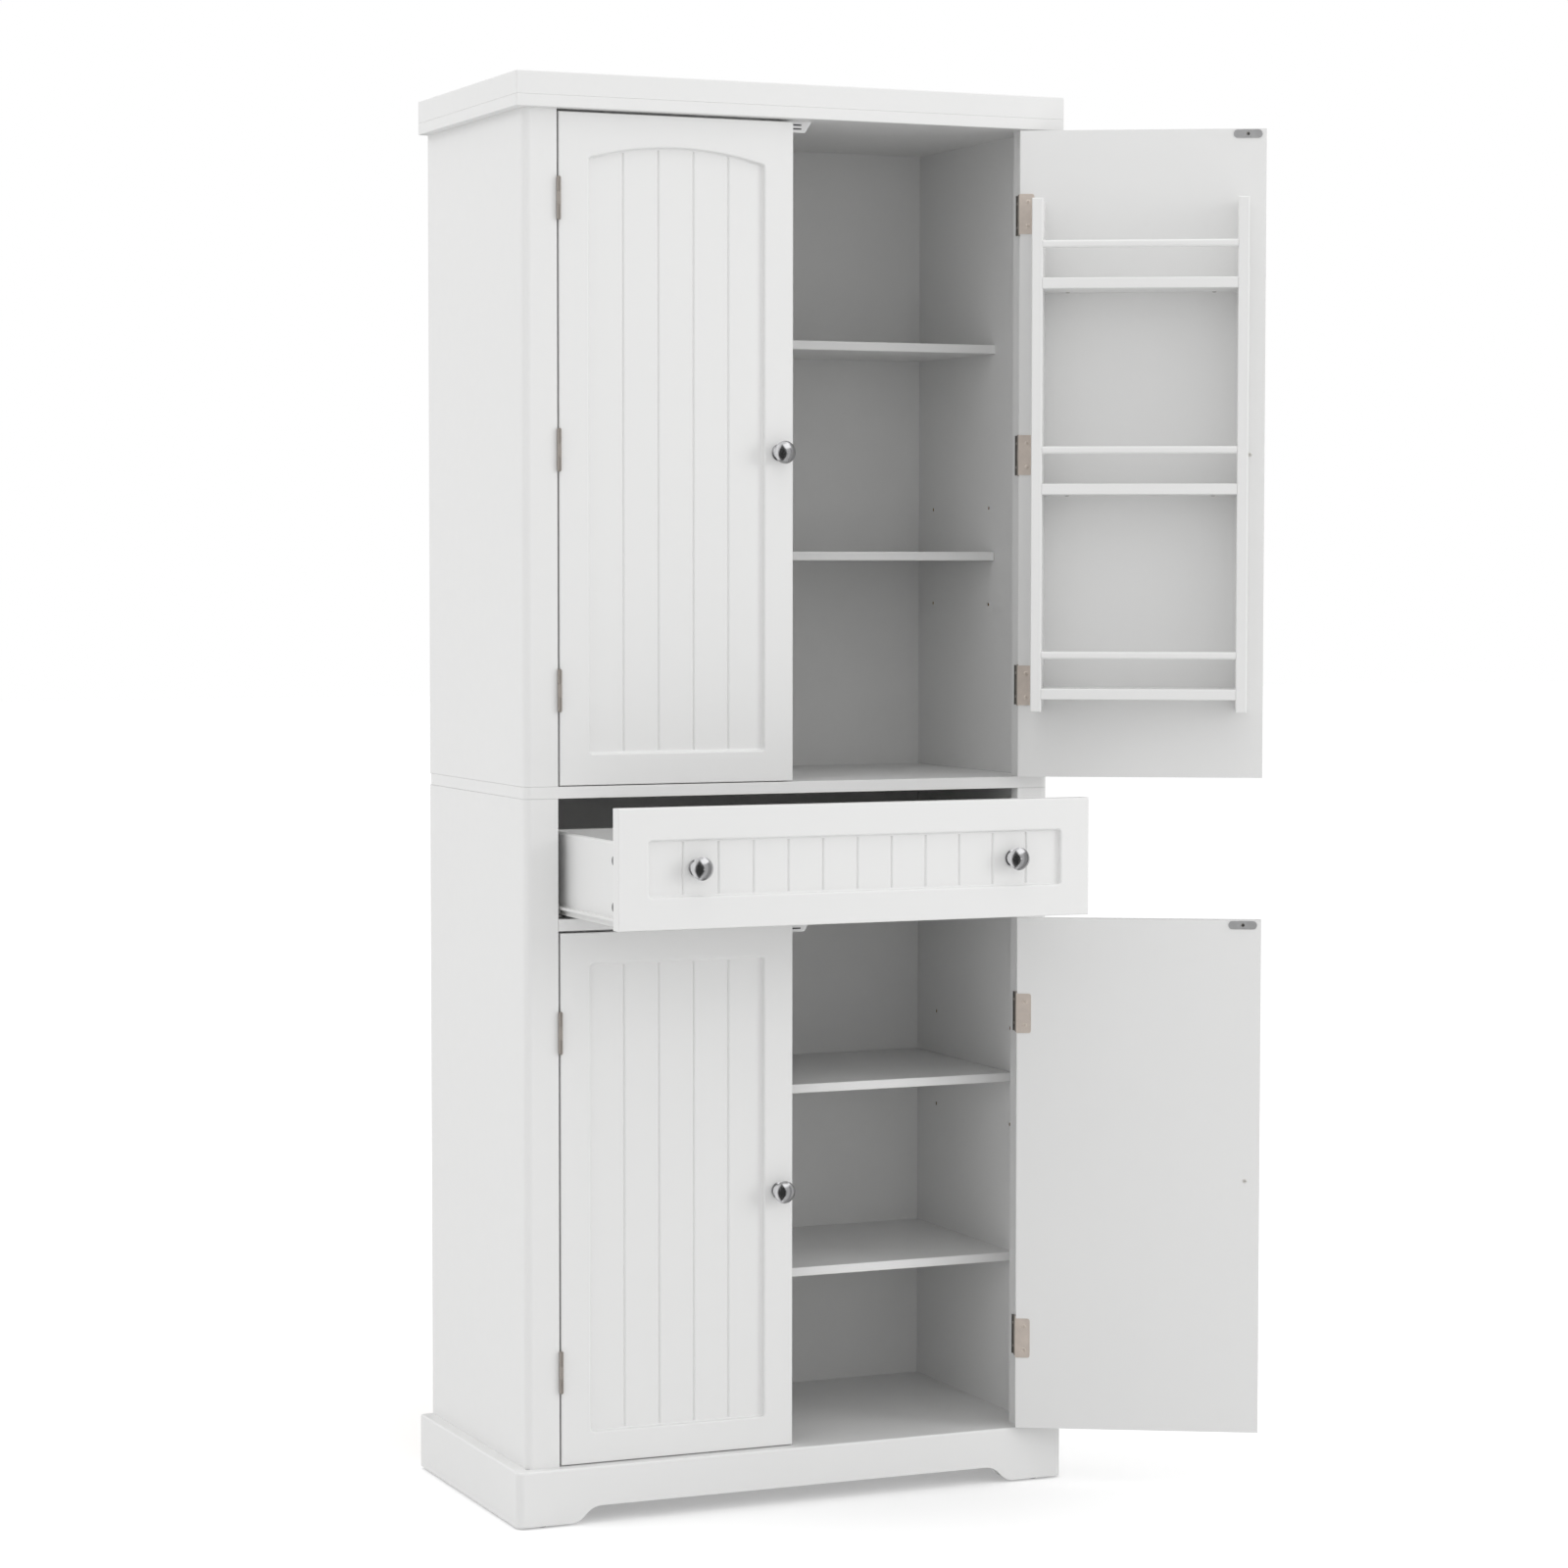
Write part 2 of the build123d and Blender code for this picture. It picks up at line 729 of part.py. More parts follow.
# Places across the runner gap, measured on the left side
web_x = -jamb + steel_t
member_x = -side_x - steel_t
roller_x1 = member_x - axle_head_w - roller_play * 3
roller_x0 = roller_x1 - roller_w
lip_x = roller_x0 - axle_head_w - roller_play * 4
front_roller_y = stile_back + roller_r + 1.0
rear_roller_y = box_back - roller_r - 3.0
fixed_y0 = stile_back + panel_play
fixed_y1 = box_back + edge_soft * 2


def both_sides(shape):
    return [shape, mirrored(shape)]


# Fixed members stand on battens that bring them flush with the stiles
batten = block(-inner_w, -jamb, stile_back, fixed_y1, deck_top, deck_top + batten_h)
keep_node("runner_battens", *both_sides(batten))

fixed = block(-jamb, web_x, fixed_y0, fixed_y1, flange_z, member_top + 3 * steel_t)
fixed += block(-jamb, roller_x1 + axle_head_w / 2, fixed_y0, fixed_y1, flange_z, flange_top)
fixed += block(-jamb, roller_x0 + roller_w / 3, fixed_y0, fixed_y1,
               member_top + 2 * steel_t, member_top + 3 * steel_t)
fixed += post_x(-jamb, roller_x1 + roller_play, front_roller_y, front_roller_z, axle_r)
fixed += post_x(-jamb, roller_x0 - roller_play, front_roller_y, front_roller_z, axle_head_r)
fixed += post_x(roller_x1 + roller_play, roller_x1 + axle_head_w, front_roller_y,
                front_roller_z, axle_head_r)
stop_rise = roller_r + roller_play - stop_h
stop_back = rear_roller_y - drawer_pull - drawer_extra - sqrt(roller_r ** 2 - stop_rise ** 2)
stop_y1 = stop_back - roller_play * 2
fixed += block(roller_x0, roller_x1, stop_y1 - steel_t, stop_y1, flange_top,
               flange_top + stop_h)
keep_node("cabinet_runners", *both_sides(fixed))


def roller(y, z):
    wheel = post_x(roller_x0, roller_x1, y, z, roller_r)
    return wheel - post_x(roller_x0, roller_x1, y, z, axle_r + axle_play)


keep_node("runner_front_rollers", *both_sides(roller(front_roller_y, front_roller_z)))
rear_roller = pulled(roller(rear_roller_y, rear_roller_z))
keep_node("runner_rear_rollers", *both_sides(rear_roller))

member = block(member_x, -side_x, stile_back, box_back, member_z, member_top)
member += block(member_x, -side_in, stile_back, box_back, member_z, side_z)
member += block(lip_x, member_x, stile_back, box_back, run_z, member_top)
member += block(lip_x, lip_x + steel_t, stile_back, box_back, run_z - steel_t * 1.5,
                member_top)
member += post_x(roller_x0 - roller_play, member_x, rear_roller_y, rear_roller_z, axle_r)
member += post_x(roller_x1 + roller_play, member_x, rear_roller_y, rear_roller_z, axle_head_r)
member += post_x(roller_x0 - axle_head_w, roller_x0 - roller_play, rear_roller_y,
                 rear_roller_z, axle_head_r)
keep_node("drawer_runners", *both_sides(pulled(member)))


# Drawer box behind a routed front, with the bottom let into grooves
bottom_z = side_z + drawer_bottom_lift
bottom_top = bottom_z + drawer_bottom_t
side_top = side_z + drawer_side_h
bottom_x = side_in + groove_in
front_x = jamb - drawer_side_gap
drawer_z0 = deck_top + drawer_side_gap
drawer_z1 = mid_board_z - drawer_side_gap
drawer_bottom = block(-bottom_x, bottom_x, stile_back - groove_in, box_back,
                      bottom_z, bottom_top)
drawer_side = block(-side_x, -side_in, stile_back, box_back, side_z, side_top)


def side_rim(b):
    long = b.max.Y - b.min.Y > drawer_len / 2
    return long and flat_in(b.min.Z, side_top)


drawer_side = soften(drawer_side, edge_soft, side_rim) - drawer_bottom
drawer_front = routed_front(-front_x, front_x, drawer_z0, drawer_z1, drawer_planks, 0.0)
drawer_front -= drawer_bottom
drawer_back = block(-side_in, side_in, box_back - drawer_board_t, box_back,
                    bottom_top, side_top)
keep_node("drawer_front", pulled(drawer_front))
keep_node("drawer_left_side", pulled(drawer_side))
keep_node("drawer_right_side", pulled(mirrored(drawer_side)))
keep_node("drawer_back", pulled(drawer_back))
keep_node("drawer_bottom", pulled(drawer_bottom))
drawer_knob_z = (drawer_z0 + drawer_z1) / 2
drawer_knob = knob(-drawer_knob_x, front + recess_depth, drawer_knob_z)
keep_node("drawer_knobs", *both_sides(pulled(drawer_knob)))


os.makedirs("parts", exist_ok=True)
for name, solids in nodes.items():
    shape = solids[0] if len(solids) == 1 else Compound(children=solids)
    export_step(shape, os.path.join("parts", name + ".step"))
print(len(nodes), "nodes", sum(len(s) for s in nodes.values()), "solids")
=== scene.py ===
import json
from math import cos, pi, radians, sin

import bpy
from bpy.props import FloatProperty, FloatVectorProperty, IntProperty, PointerProperty
from mathutils import Matrix, Vector


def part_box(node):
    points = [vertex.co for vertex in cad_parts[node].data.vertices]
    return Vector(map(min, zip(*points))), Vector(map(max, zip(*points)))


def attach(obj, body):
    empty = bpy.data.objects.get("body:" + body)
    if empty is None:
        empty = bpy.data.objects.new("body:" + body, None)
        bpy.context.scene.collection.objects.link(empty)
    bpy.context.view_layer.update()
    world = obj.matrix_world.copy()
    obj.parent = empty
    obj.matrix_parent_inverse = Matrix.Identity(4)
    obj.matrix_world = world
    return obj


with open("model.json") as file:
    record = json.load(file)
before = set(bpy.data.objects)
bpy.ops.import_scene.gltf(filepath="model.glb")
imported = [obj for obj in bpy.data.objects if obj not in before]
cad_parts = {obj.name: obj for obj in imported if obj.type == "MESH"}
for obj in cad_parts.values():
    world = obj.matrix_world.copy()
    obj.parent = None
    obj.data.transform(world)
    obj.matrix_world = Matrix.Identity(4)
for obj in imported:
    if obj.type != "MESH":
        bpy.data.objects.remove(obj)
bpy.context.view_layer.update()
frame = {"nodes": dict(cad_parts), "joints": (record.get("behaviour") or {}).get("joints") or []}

bl_info = {
    "name": "Pantry cabinet finish",
    "version": (1, 0, 0),
    "blender": (4, 5, 0),
    "location": "3D View > Sidebar > Pantry",
    "description": "Paint, metal, fasteners and studio for the pantry cabinet",
    "category": "Object",
}

MM = 0.001
SHARP_EDGE = radians(40)
EVEN_GRAIN = (900.0, 900.0, 900.0)

# Boards by the way their grain runs
SIDE_BOARDS = ("upper_left_side", "upper_right_side", "lower_left_side", "lower_right_side")
UPRIGHT_BOARDS = (
    "upper_left_stile", "upper_right_stile", "lower_left_stile", "lower_right_stile",
    "upper_left_door", "upper_right_door", "lower_left_door", "lower_right_door",
    "rack_hinge_side", "rack_latch_side",
)
CROSSWISE_BOARDS = (
    "top_slab", "top_board", "mid_board", "drawer_deck", "bottom_board", "plinth_front",
    "upper_fixed_shelf", "upper_adjustable_shelf", "lower_adjustable_shelf",
    "lower_fixed_shelf", "drawer_front", "drawer_back", "rack_shelves", "rack_rails",
)
DEEP_BOARDS = (
    "plinth_left", "plinth_right", "runner_battens", "drawer_left_side",
    "drawer_right_side",
)
BACK_PANELS = ("upper_back_panel", "lower_back_panel")
LEVELS = ("upper", "lower")
SIDES = ("left", "right")
DOORS = [level + "_" + side for level in LEVELS for side in SIDES]

# Cloths that show in the bright metal: degrees round to the right, degrees up, shade, oval or not
STUDIO_CLOTHS = (
    ("dark_cloth", (-46.0, 22.0), (-82.0, 62.0), 0.045, True),
    ("right_cloth", (22.0, 50.0), (-75.0, 28.0), 0.65, False),
    ("far_right_cloth", (50.0, 85.0), (-75.0, 30.0), 0.38, False),
    ("back_right_cloth", (85.0, 178.0), (-75.0, 40.0), 0.16, False),
    ("bright_cloth", (6.0, 84.0), (30.0, 62.0), 1.7, False),
    ("left_cloth", (-64.0, -46.0), (-60.0, 60.0), 1.25, False),
    ("back_left_cloth", (-108.0, -76.0), (-70.0, 70.0), 0.3, False),
)


# Sizes and colours that a user may change

class PantryPaint(bpy.types.PropertyGroup):
    """White paint on the boards and the bare face of the back panels."""
    white: FloatVectorProperty(
        name="White paint", description="Colour of the painted boards", subtype="COLOR",
        size=3, min=0, max=1, default=(0.80, 0.80, 0.795))
    bare_back: FloatVectorProperty(
        name="Bare hardboard", description="Colour of the back panels' rear face",
        subtype="COLOR", size=3, min=0, max=1, default=(0.36, 0.23, 0.13))
    raw_board: FloatVectorProperty(
        name="Raw board", description="Fibreboard inside the pin holes", subtype="COLOR",
        size=3, min=0, max=1, default=(0.40, 0.27, 0.15))
    sheen_rough: FloatProperty(
        name="Paint roughness", description="How dull the satin paint is",
        subtype="FACTOR", min=0, max=1, default=0.42)
    peel_depth: FloatProperty(
        name="Spray texture", description="Height of the sprayed paint's fine waves",
        subtype="DISTANCE", unit="LENGTH", min=0, default=0.00003)
    grain_depth: FloatProperty(
        name="Grain depth", description="Height of the pressed grain under the paint",
        subtype="DISTANCE", unit="LENGTH", min=0, default=0.00002)


class PantryMetal(bpy.types.PropertyGroup):
    """Hinges, knobs, plates, pins and screws."""
    hinge: FloatVectorProperty(
        name="Hinge metal", description="Warm satin plating of the hinge leaves on the doors",
        subtype="COLOR", size=3, min=0, max=1, default=(0.74, 0.655, 0.585))
    # Painted shade: the knuckles and pins are the hinge plating made darker, standing in for the
    # shade on the barrels.
    barrel: FloatVectorProperty(
        name="Hinge barrels", description="Plating of the knuckles and pins",
        subtype="COLOR", size=3, min=0, max=1, default=(0.42, 0.38, 0.345))
    # Painted shade and reflection: the stile leaves are the same metal as the door leaves, made
    # near-black for the shade and dark interior they mirror.
    shaded_frame_leaf: FloatVectorProperty(
        name="Stile leaves", description="Dark plating of the hinge leaves on the stiles",
        subtype="COLOR", size=3, min=0, max=1, default=(0.15, 0.138, 0.125))
    knob: FloatVectorProperty(
        name="Knob metal", description="Polished plating of the knobs",
        subtype="COLOR", size=3, min=0, max=1, default=(0.54, 0.54, 0.55))
    plate: FloatVectorProperty(
        name="Strike plate", description="Steel of the strike plates",
        subtype="COLOR", size=3, min=0, max=1, default=(0.54, 0.54, 0.545))
    screw: FloatVectorProperty(
        name="Zinc screws", description="Plating of screws, nails and shelf pins",
        subtype="COLOR", size=3, min=0, max=1, default=(0.52, 0.51, 0.49))
    knob_screw: FloatVectorProperty(
        name="Knob screws", description="Pale plating of the screws that hold the knobs",
        subtype="COLOR", size=3, min=0, max=1, default=(0.66, 0.65, 0.62))
    # Painted shade in part: the cam locks' near-black also stands in for the shade in their
    # bores; the catch poles use it too.
    cam: FloatVectorProperty(
        name="Dark metal", description="Cam locks in the drawer sides and poles of the catches",
        subtype="COLOR", size=3, min=0, max=1, default=(0.07, 0.07, 0.075))


class PantryPlastic(bpy.types.PropertyGroup):
    """Catches, runners, rollers and glides."""
    catch: FloatVectorProperty(
        name="Catch housing", description="White plastic of the magnetic catches",
        subtype="COLOR", size=3, min=0, max=1, default=(0.80, 0.80, 0.80))
    runner: FloatVectorProperty(
        name="Runner coat", description="White powder coat of the drawer runners",
        subtype="COLOR", size=3, min=0, max=1, default=(0.80, 0.80, 0.79))
    roller: FloatVectorProperty(
        name="Rollers", description="Plain plastic of the runner wheels",
        subtype="COLOR", size=3, min=0, max=1, default=(0.62, 0.62, 0.60))
    glide: FloatVectorProperty(
        name="Foot glides", description="Grey plastic of the glides under the plinth",
        subtype="COLOR", size=3, min=0, max=1, default=(0.40, 0.40, 0.40))


class PantryFasteners(bpy.types.PropertyGroup):
    """Screw heads, cam locks and nails."""
    screw_radius: FloatProperty(
        name="Screw head radius", description="Radius of the hinge and runner screws",
        subtype="DISTANCE", unit="LENGTH", min=0, default=0.0030)
    flush_height: FloatProperty(
        name="Flush head height", description="How far a countersunk head stands proud",
        subtype="DISTANCE", unit="LENGTH", min=0, default=0.00025)
    pan_height: FloatProperty(
        name="Pan head height", description="How far a pan head stands proud",
        subtype="DISTANCE", unit="LENGTH", min=0, default=0.0012)
    cam_radius: FloatProperty(
        name="Cam radius", description="Radius of the cam locks in the drawer sides",
        subtype="DISTANCE", unit="LENGTH", min=0, default=0.0060)
    nail_radius: FloatProperty(
        name="Nail head radius", description="Radius of the back panels' nail heads",
        subtype="DISTANCE", unit="LENGTH", min=0, default=0.0020)
    nail_pitch: FloatProperty(
        name="Nail spacing", description="Distance between the back panels' nails",
        subtype="DISTANCE", unit="LENGTH", min=0.01, default=0.105)
    turn_seed: IntProperty(
        name="Turn seed", description="Seed for how far each screw was turned in",
        min=0, default=7)


class PantryStage(bpy.types.PropertyGroup):
    """Floor, light and camera."""
    floor_span: FloatProperty(
        name="Floor span", description="Width of the pale floor", subtype="DISTANCE",
        unit="LENGTH", min=1, default=60.0)
    ambient: FloatProperty(
        name="Room light", description="Strength of the even light from all round",
        min=0, default=0.92)
    top_power: FloatProperty(
        name="Top lamp", description="Power of the wide lamp above the cabinet",
        unit="POWER", min=0, default=19.0)
    left_power: FloatProperty(
        name="Left lamp", description="Power of the wide lamp high at the left",
        unit="POWER", min=0, default=24.0)
    right_power: FloatProperty(
        name="Right lamp", description="Power of the wide lamp at the right",
        unit="POWER", min=0, default=59.4)
    camera_place: FloatVectorProperty(
        name="Camera place", description="Where the camera stands", size=3,
        subtype="TRANSLATION", unit="LENGTH", default=(-2.07501, -4.96911, 1.22144))
    camera_yaw: FloatProperty(
        name="Camera yaw", description="Turn of the view to the right", subtype="ANGLE",
        unit="ROTATION", default=0.407056)
    camera_pitch: FloatProperty(
        name="Camera pitch", description="Tilt of the view, up being positive",
        subtype="ANGLE", unit="ROTATION", default=-0.054825)
    camera_roll: FloatProperty(
        name="Camera roll", description="Lean of the camera", subtype="ANGLE",
        unit="ROTATION", default=0.000751)
    lens: FloatProperty(
        name="Lens", description="Focal length on a 36 mm wide sensor", min=1,
        subtype="DISTANCE_CAMERA", unit="CAMERA", default=92.924)


# Shared making of nodes and finishes

def add_node(tree, kind, values=None, **settings):
    """Add a node, set its properties, then set or link its sockets by name or index."""
    node = tree.nodes.new(kind)
    for name, value in settings.items():
        setattr(node, name, value)
    for name, value in (values or {}).items():
        socket = node.inputs[name]
        if isinstance(value, bpy.types.NodeSocket):
            tree.links.new(value, socket)
        else:
            socket.default_value = value
    return node


def rgba(colour, share=1.0):
    """Opaque colour, made darker or lighter by a share."""
    return (colour[0] * share, colour[1] * share, colour[2] * share, 1.0)


def blank_finish(name):
    """New material with a lone surface shader, and its tree."""
    finish = bpy.data.materials.new(name)
    finish.use_nodes = True
    tree = finish.node_tree
    tree.nodes.clear()
    shader = add_node(tree, "ShaderNodeBsdfPrincipled")
    out = add_node(tree, "ShaderNodeOutputMaterial")
    tree.links.new(shader.outputs["BSDF"], out.inputs["Surface"])
    return finish, tree, shader


def object_place(tree, scale=(1, 1, 1)):
    """Object coordinates, stretched to run along a grain."""
    place = add_node(tree, "ShaderNodeTexCoord").outputs["Object"]
    stretched = add_node(tree, "ShaderNodeMapping", {"Vector": place, "Scale": scale})
    return stretched.outputs["Vector"]


def noise(tree, place, scale, detail=2.0):
    """Soft noise; scale is how many lumps there are to a metre."""
    node = add_node(tree, "ShaderNodeTexNoise",
                    {"Vector": place, "Scale": scale, "Detail": detail})
    return node.outputs["Fac"]


def spread(tree, value, low, high):
    """Map the middle of a noise to a range."""
    node = add_node(tree, "ShaderNodeMapRange", {
        "Value": value, "From Min": 0.25, "From Max": 0.75, "To Min": low, "To Max": high})
    return node.outputs["Result"]


def tint(tree, value, dark, light):
    """Mix two colours, the first at 0 and the second at 1."""
    node = add_node(tree, "ShaderNodeMix", {0: value, 6: dark, 7: light},
                    data_type="RGBA")
    return node.outputs[2]


def raise_surface(tree, shader, height, depth, below=None):
    """Bump of a real depth, on top of an earlier one."""
    values = {"Height": height, "Distance": depth, "Strength": 1.0}
    if below is not None:
        values["Normal"] = below
    bump = add_node(tree, "ShaderNodeBump", values)
    tree.links.new(bump.outputs["Normal"], shader.inputs["Normal"])
    return bump.outputs["Normal"]


def between(tree, value, low, high):
    """1 where a value lies between two limits."""
    node = add_node(tree, "ShaderNodeMath", {0: value, 1: (low + high) / 2, 2: (high - low) / 2},
                    operation="COMPARE")
    return node.outputs["Value"]


def bare_in_holes(tree, paint, painted, box):
    """Raw fibreboard inside the holes of a board that stands on edge, paint on its skin."""
    skin = 0.8 * MM
    margin = 5.0 * MM
    place = add_node(tree, "ShaderNodeTexCoord").outputs["Object"]
    axes = add_node(tree, "ShaderNodeSeparateXYZ", {"Vector": place}).outputs
    off = add_node(tree, "ShaderNodeMath", {0: axes["X"]}, operation="ABSOLUTE")
    near, far = sorted((abs(box[0].x), abs(box[1].x)))
    deep = between(tree, off.outputs["Value"], near + skin, far - skin)
    clear = between(tree, axes["Y"], box[0].y + margin, box[1].y - margin)
    both = add_node(tree, "ShaderNodeMath", {0: deep, 1: clear}, operation="MULTIPLY")
    fibre = spread(tree, noise(tree, place, scale=1400.0, detail=4.0), 0.0, 1.0)
    raw = tint(tree, fibre, rgba(paint.raw_board, 0.75), rgba(paint.raw_board, 1.15))
    return tint(tree, both.outputs["Value"], painted, raw)


def shade_joints(tree, paint, painted, heights):
    """Painted shade: a thin grey line at each height where one board stands on another, in place
    of the shade in the seam.
    """
    reach = 0.8 * MM
    grey = rgba(paint.white, 0.86)
    place = add_node(tree, "ShaderNodeTexCoord").outputs["Object"]
    level = add_node(tree, "ShaderNodeSeparateXYZ", {"Vector": place}).outputs["Z"]
    for height in heights:
        line = between(tree, level, height - reach, height + reach)
        painted = tint(tree, line, painted, grey)
    return painted


def painted_board(name, paint, along, bored=None, joints=()):
    """Satin white paint over faintly grained board, the grain along one axis, with a painted
    shade line at each joint height.
    """
    finish, tree, shader = blank_finish(name)
    across, length = 240.0, 5.0
    dull_change = 0.05
    stretch = [across, across, across]
    stretch["XYZ".index(along)] = length
    grain = noise(tree, object_place(tree, stretch), scale=1.0, detail=4.0)
    place = object_place(tree)
    cloud = spread(tree, noise(tree, place, scale=5.0), 0.0, 1.0)
    colour = tint(tree, cloud, rgba(paint.white, 0.992), rgba(paint.white, 1.004))
    streak = spread(tree, grain, 0.0, 1.0)
    colour = tint(tree, streak, colour, rgba(paint.white, 1.0))
    if bored is not None:
        colour = bare_in_holes(tree, paint, colour, bored)
    # Painted shade: grey lines at the joint heights stand in for the shade in the seams.
    colour = shade_joints(tree, paint, colour, joints)
    tree.links.new(colour, shader.inputs["Base Color"])
    dull = spread(tree, noise(tree, place, scale=60.0),
                  paint.sheen_rough - dull_change, paint.sheen_rough + dull_change)
    tree.links.new(dull, shader.inputs["Roughness"])
    shader.inputs["Specular IOR Level"].default_value = 0.4
    grained = raise_surface(tree, shader, grain, paint.grain_depth)
    peel = noise(tree, place, scale=750.0, detail=1.0)
    raise_surface(tree, shader, peel, paint.peel_depth, grained)
    return finish


def back_panel_board(paint):
    """Hardboard, white on the inside and bare on the rear face."""
    finish, tree, shader = blank_finish("back_panel_board")
    fibre_depth = 0.04 * MM
    inner_rough, rear_rough = 0.45, 0.8
    fibre = noise(tree, object_place(tree, (900.0, 900.0, 700.0)), scale=1.0, detail=5.0)
    cloud = noise(tree, object_place(tree), scale=14.0, detail=4.0)
    white = tint(tree, spread(tree, cloud, 0.0, 1.0),
                 rgba(paint.white, 0.97), rgba(paint.white, 1.0))
    bare = tint(tree, spread(tree, fibre, 0.0, 1.0),
                rgba(paint.bare_back, 0.75), rgba(paint.bare_back, 1.2))
    bare = tint(tree, spread(tree, cloud, 0.0, 0.35), bare, rgba(paint.bare_back, 0.85))
    facing = add_node(tree, "ShaderNodeTexCoord").outputs["Normal"]
    rearward = add_node(tree, "ShaderNodeSeparateXYZ", {"Vector": facing}).outputs["Y"]
    rear = add_node(tree, "ShaderNodeMath", {0: rearward, 1: 0.5},
                    operation="GREATER_THAN").outputs["Value"]
    tree.links.new(tint(tree, rear, white, bare), shader.inputs["Base Color"])
    dull = add_node(tree, "ShaderNodeMapRange",
                    {"Value": rear, "To Min": inner_rough, "To Max": rear_rough})
    tree.links.new(dull.outputs["Result"], shader.inputs["Roughness"])
    raise_surface(tree, shader, fibre, fibre_depth)
    return finish


def round_pins(tree):
    """1 on the knuckles of a hinge, within reach of its pin."""
    reach = 3.2 * MM
    low, high = solid_boxes("hinge_pins")[0]
    pin = (low + high) / 2
    place = add_node(tree, "ShaderNodeTexCoord").outputs["Object"]
    axes = add_node(tree, "ShaderNodeSeparateXYZ", {"Vector": place}).outputs
    off = add_node(tree, "ShaderNodeMath", {0: axes["X"]}, operation="ABSOLUTE")
    flat = add_node(tree, "ShaderNodeCombineXYZ", {"X": off.outputs["Value"], "Y": axes["Y"]})
    away = add_node(tree, "ShaderNodeVectorMath",
                    {0: flat.outputs["Vector"], 1: (abs(pin.x), pin.y, 0.0)},
                    operation="DISTANCE")
    near = add_node(tree, "ShaderNodeMath", {0: away.outputs["Value"], 1: reach},
                    operation="LESS_THAN")
    return near.outputs["Value"]


def plated_metal(name, colour, rough, brush, depth, metallic=1.0, knuckles=None):
    """Metal with fine brush lines; brush is how tightly they pack along each axis."""
    finish, tree, shader = blank_finish(name)
    lines = noise(tree, object_place(tree, brush), scale=1.0, detail=3.0)
    smudge = noise(tree, object_place(tree), scale=90.0, detail=3.0)
    shade = tint(tree, spread(tree, smudge, 0.0, 1.0), rgba(colour, 0.93), rgba(colour, 1.04))
    # Painted shade: the knuckles take the darker barrel colour in place of their shade.
    if knuckles is not None:
        shade = tint(tree, round_pins(tree), shade, rgba(knuckles))
    tree.links.new(shade, shader.inputs["Base Color"])
    shader.inputs["Metallic"].default_value = metallic
    dull = spread(tree, lines, rough * 0.8, rough * 1.2)
    tree.links.new(dull, shader.inputs["Roughness"])
    raise_surface(tree, shader, lines, depth)
    return finish


def moulded_plastic(name, colour, rough, grit):
    """Plain plastic or coat with a fine moulded or powdery skin."""
    finish, tree, shader = blank_finish(name)
    dull_change = 0.06
    skin_depth = 0.03 * MM
    place = object_place(tree)
    cloud = noise(tree, place, scale=40.0, detail=3.0)
    shade = tint(tree, spread(tree, cloud, 0.0, 1.0), rgba(colour, 0.95), rgba(colour, 1.0))
    tree.links.new(shade, shader.inputs["Base Color"])
    dull = spread(tree, cloud, rough - dull_change, rough + dull_change)
    tree.links.new(dull, shader.inputs["Roughness"])
    raise_surface(tree, shader, noise(tree, place, grit, detail=1.0), skin_depth)
    return finish


def dress(nodes, finish):
    """Give CAD nodes a finish."""
    for name in nodes:
        materials = frame["nodes"][name].data.materials
        materials.clear()
        materials.append(finish)


# Shared placing of small parts

def solid_boxes(node):
    """Corner pairs of the separate solids in one CAD node."""
    mesh = frame["nodes"][node].data
    keys = [tuple(round(c, 5) for c in v.co) for v in mesh.vertices]
    owner = {key: key for key in keys}

    def top(key):
        while owner[key] != key:
            owner[key] = owner[owner[key]]
            key = owner[key]
        return key

    for face in mesh.polygons:
        corners = [keys[i] for i in face.vertices]
        for key in corners[1:]:
            owner[top(key)] = top(corners[0])
    groups = {}
    for key in owner:
        groups.setdefault(top(key), []).append(key)
    boxes = []
    for points in groups.values():
        columns = list(zip(*points))
        boxes.append((Vector([min(c) for c in columns]), Vector([max(c) for c in columns])))
    return sorted(boxes, key=lambda box: (box[0].z, box[0].x))


def other_side(spot):
    """Mirror a spot, a point with the way it faces, to the right of the cabinet."""
    return tuple(Vector((-v.x, v.y, v.z)) for v in spot)


def right_swing(level):
    """Pivot of a right door and its turn from shut to where it stands."""
    joint = next(j for j in frame["joints"] if j["name"] == level + "_right_swing")
    turn = Matrix.Rotation(radians(-joint["range_deg"][0]), 3, Vector(joint["axis"]))
    return Vector(joint["pos_m"]), turn


def swung_open(level, spot):
    """Turn a spot on a closed right door to where the door stands."""
    pivot, turn = right_swing(level)
    return pivot + turn @ (spot[0] - pivot), turn @ spot[1]


def on_door(door, spots):
    """Spots of a closed left door, placed on the named door."""
    level, side = door.split("_")
    if side == "left":
        return spots
    return [swung_open(level, other_side(spot)) for spot in spots]


def make_tree(name, sizes):
    """Empty geometry tree with named inputs: lengths, a count or a material."""
    tree = bpy.data.node_groups.new(name, "GeometryNodeTree")
    sockets = tree.interface
    sockets.new_socket("Geometry", in_out="INPUT", socket_type="NodeSocketGeometry")
    for label, kind in sizes:
        sockets.new_socket(label, in_out="INPUT", socket_type="NodeSocket" + kind)
    sockets.new_socket("Geometry", in_out="OUTPUT", socket_type="NodeSocketGeometry")
    return tree, add_node(tree, "NodeGroupInput").outputs


def end_tree(tree, instances, finish):
    """Make the copies real, give them their finish and end the tree."""
    real = add_node(tree, "GeometryNodeRealizeInstances", {"Geometry": instances})
    dressed = add_node(tree, "GeometryNodeSetMaterial",
                       {"Geometry": real.outputs["Geometry"], "Material": finish})
    add_node(tree, "NodeGroupOutput", {"Geometry": dressed.outputs["Geometry"]})


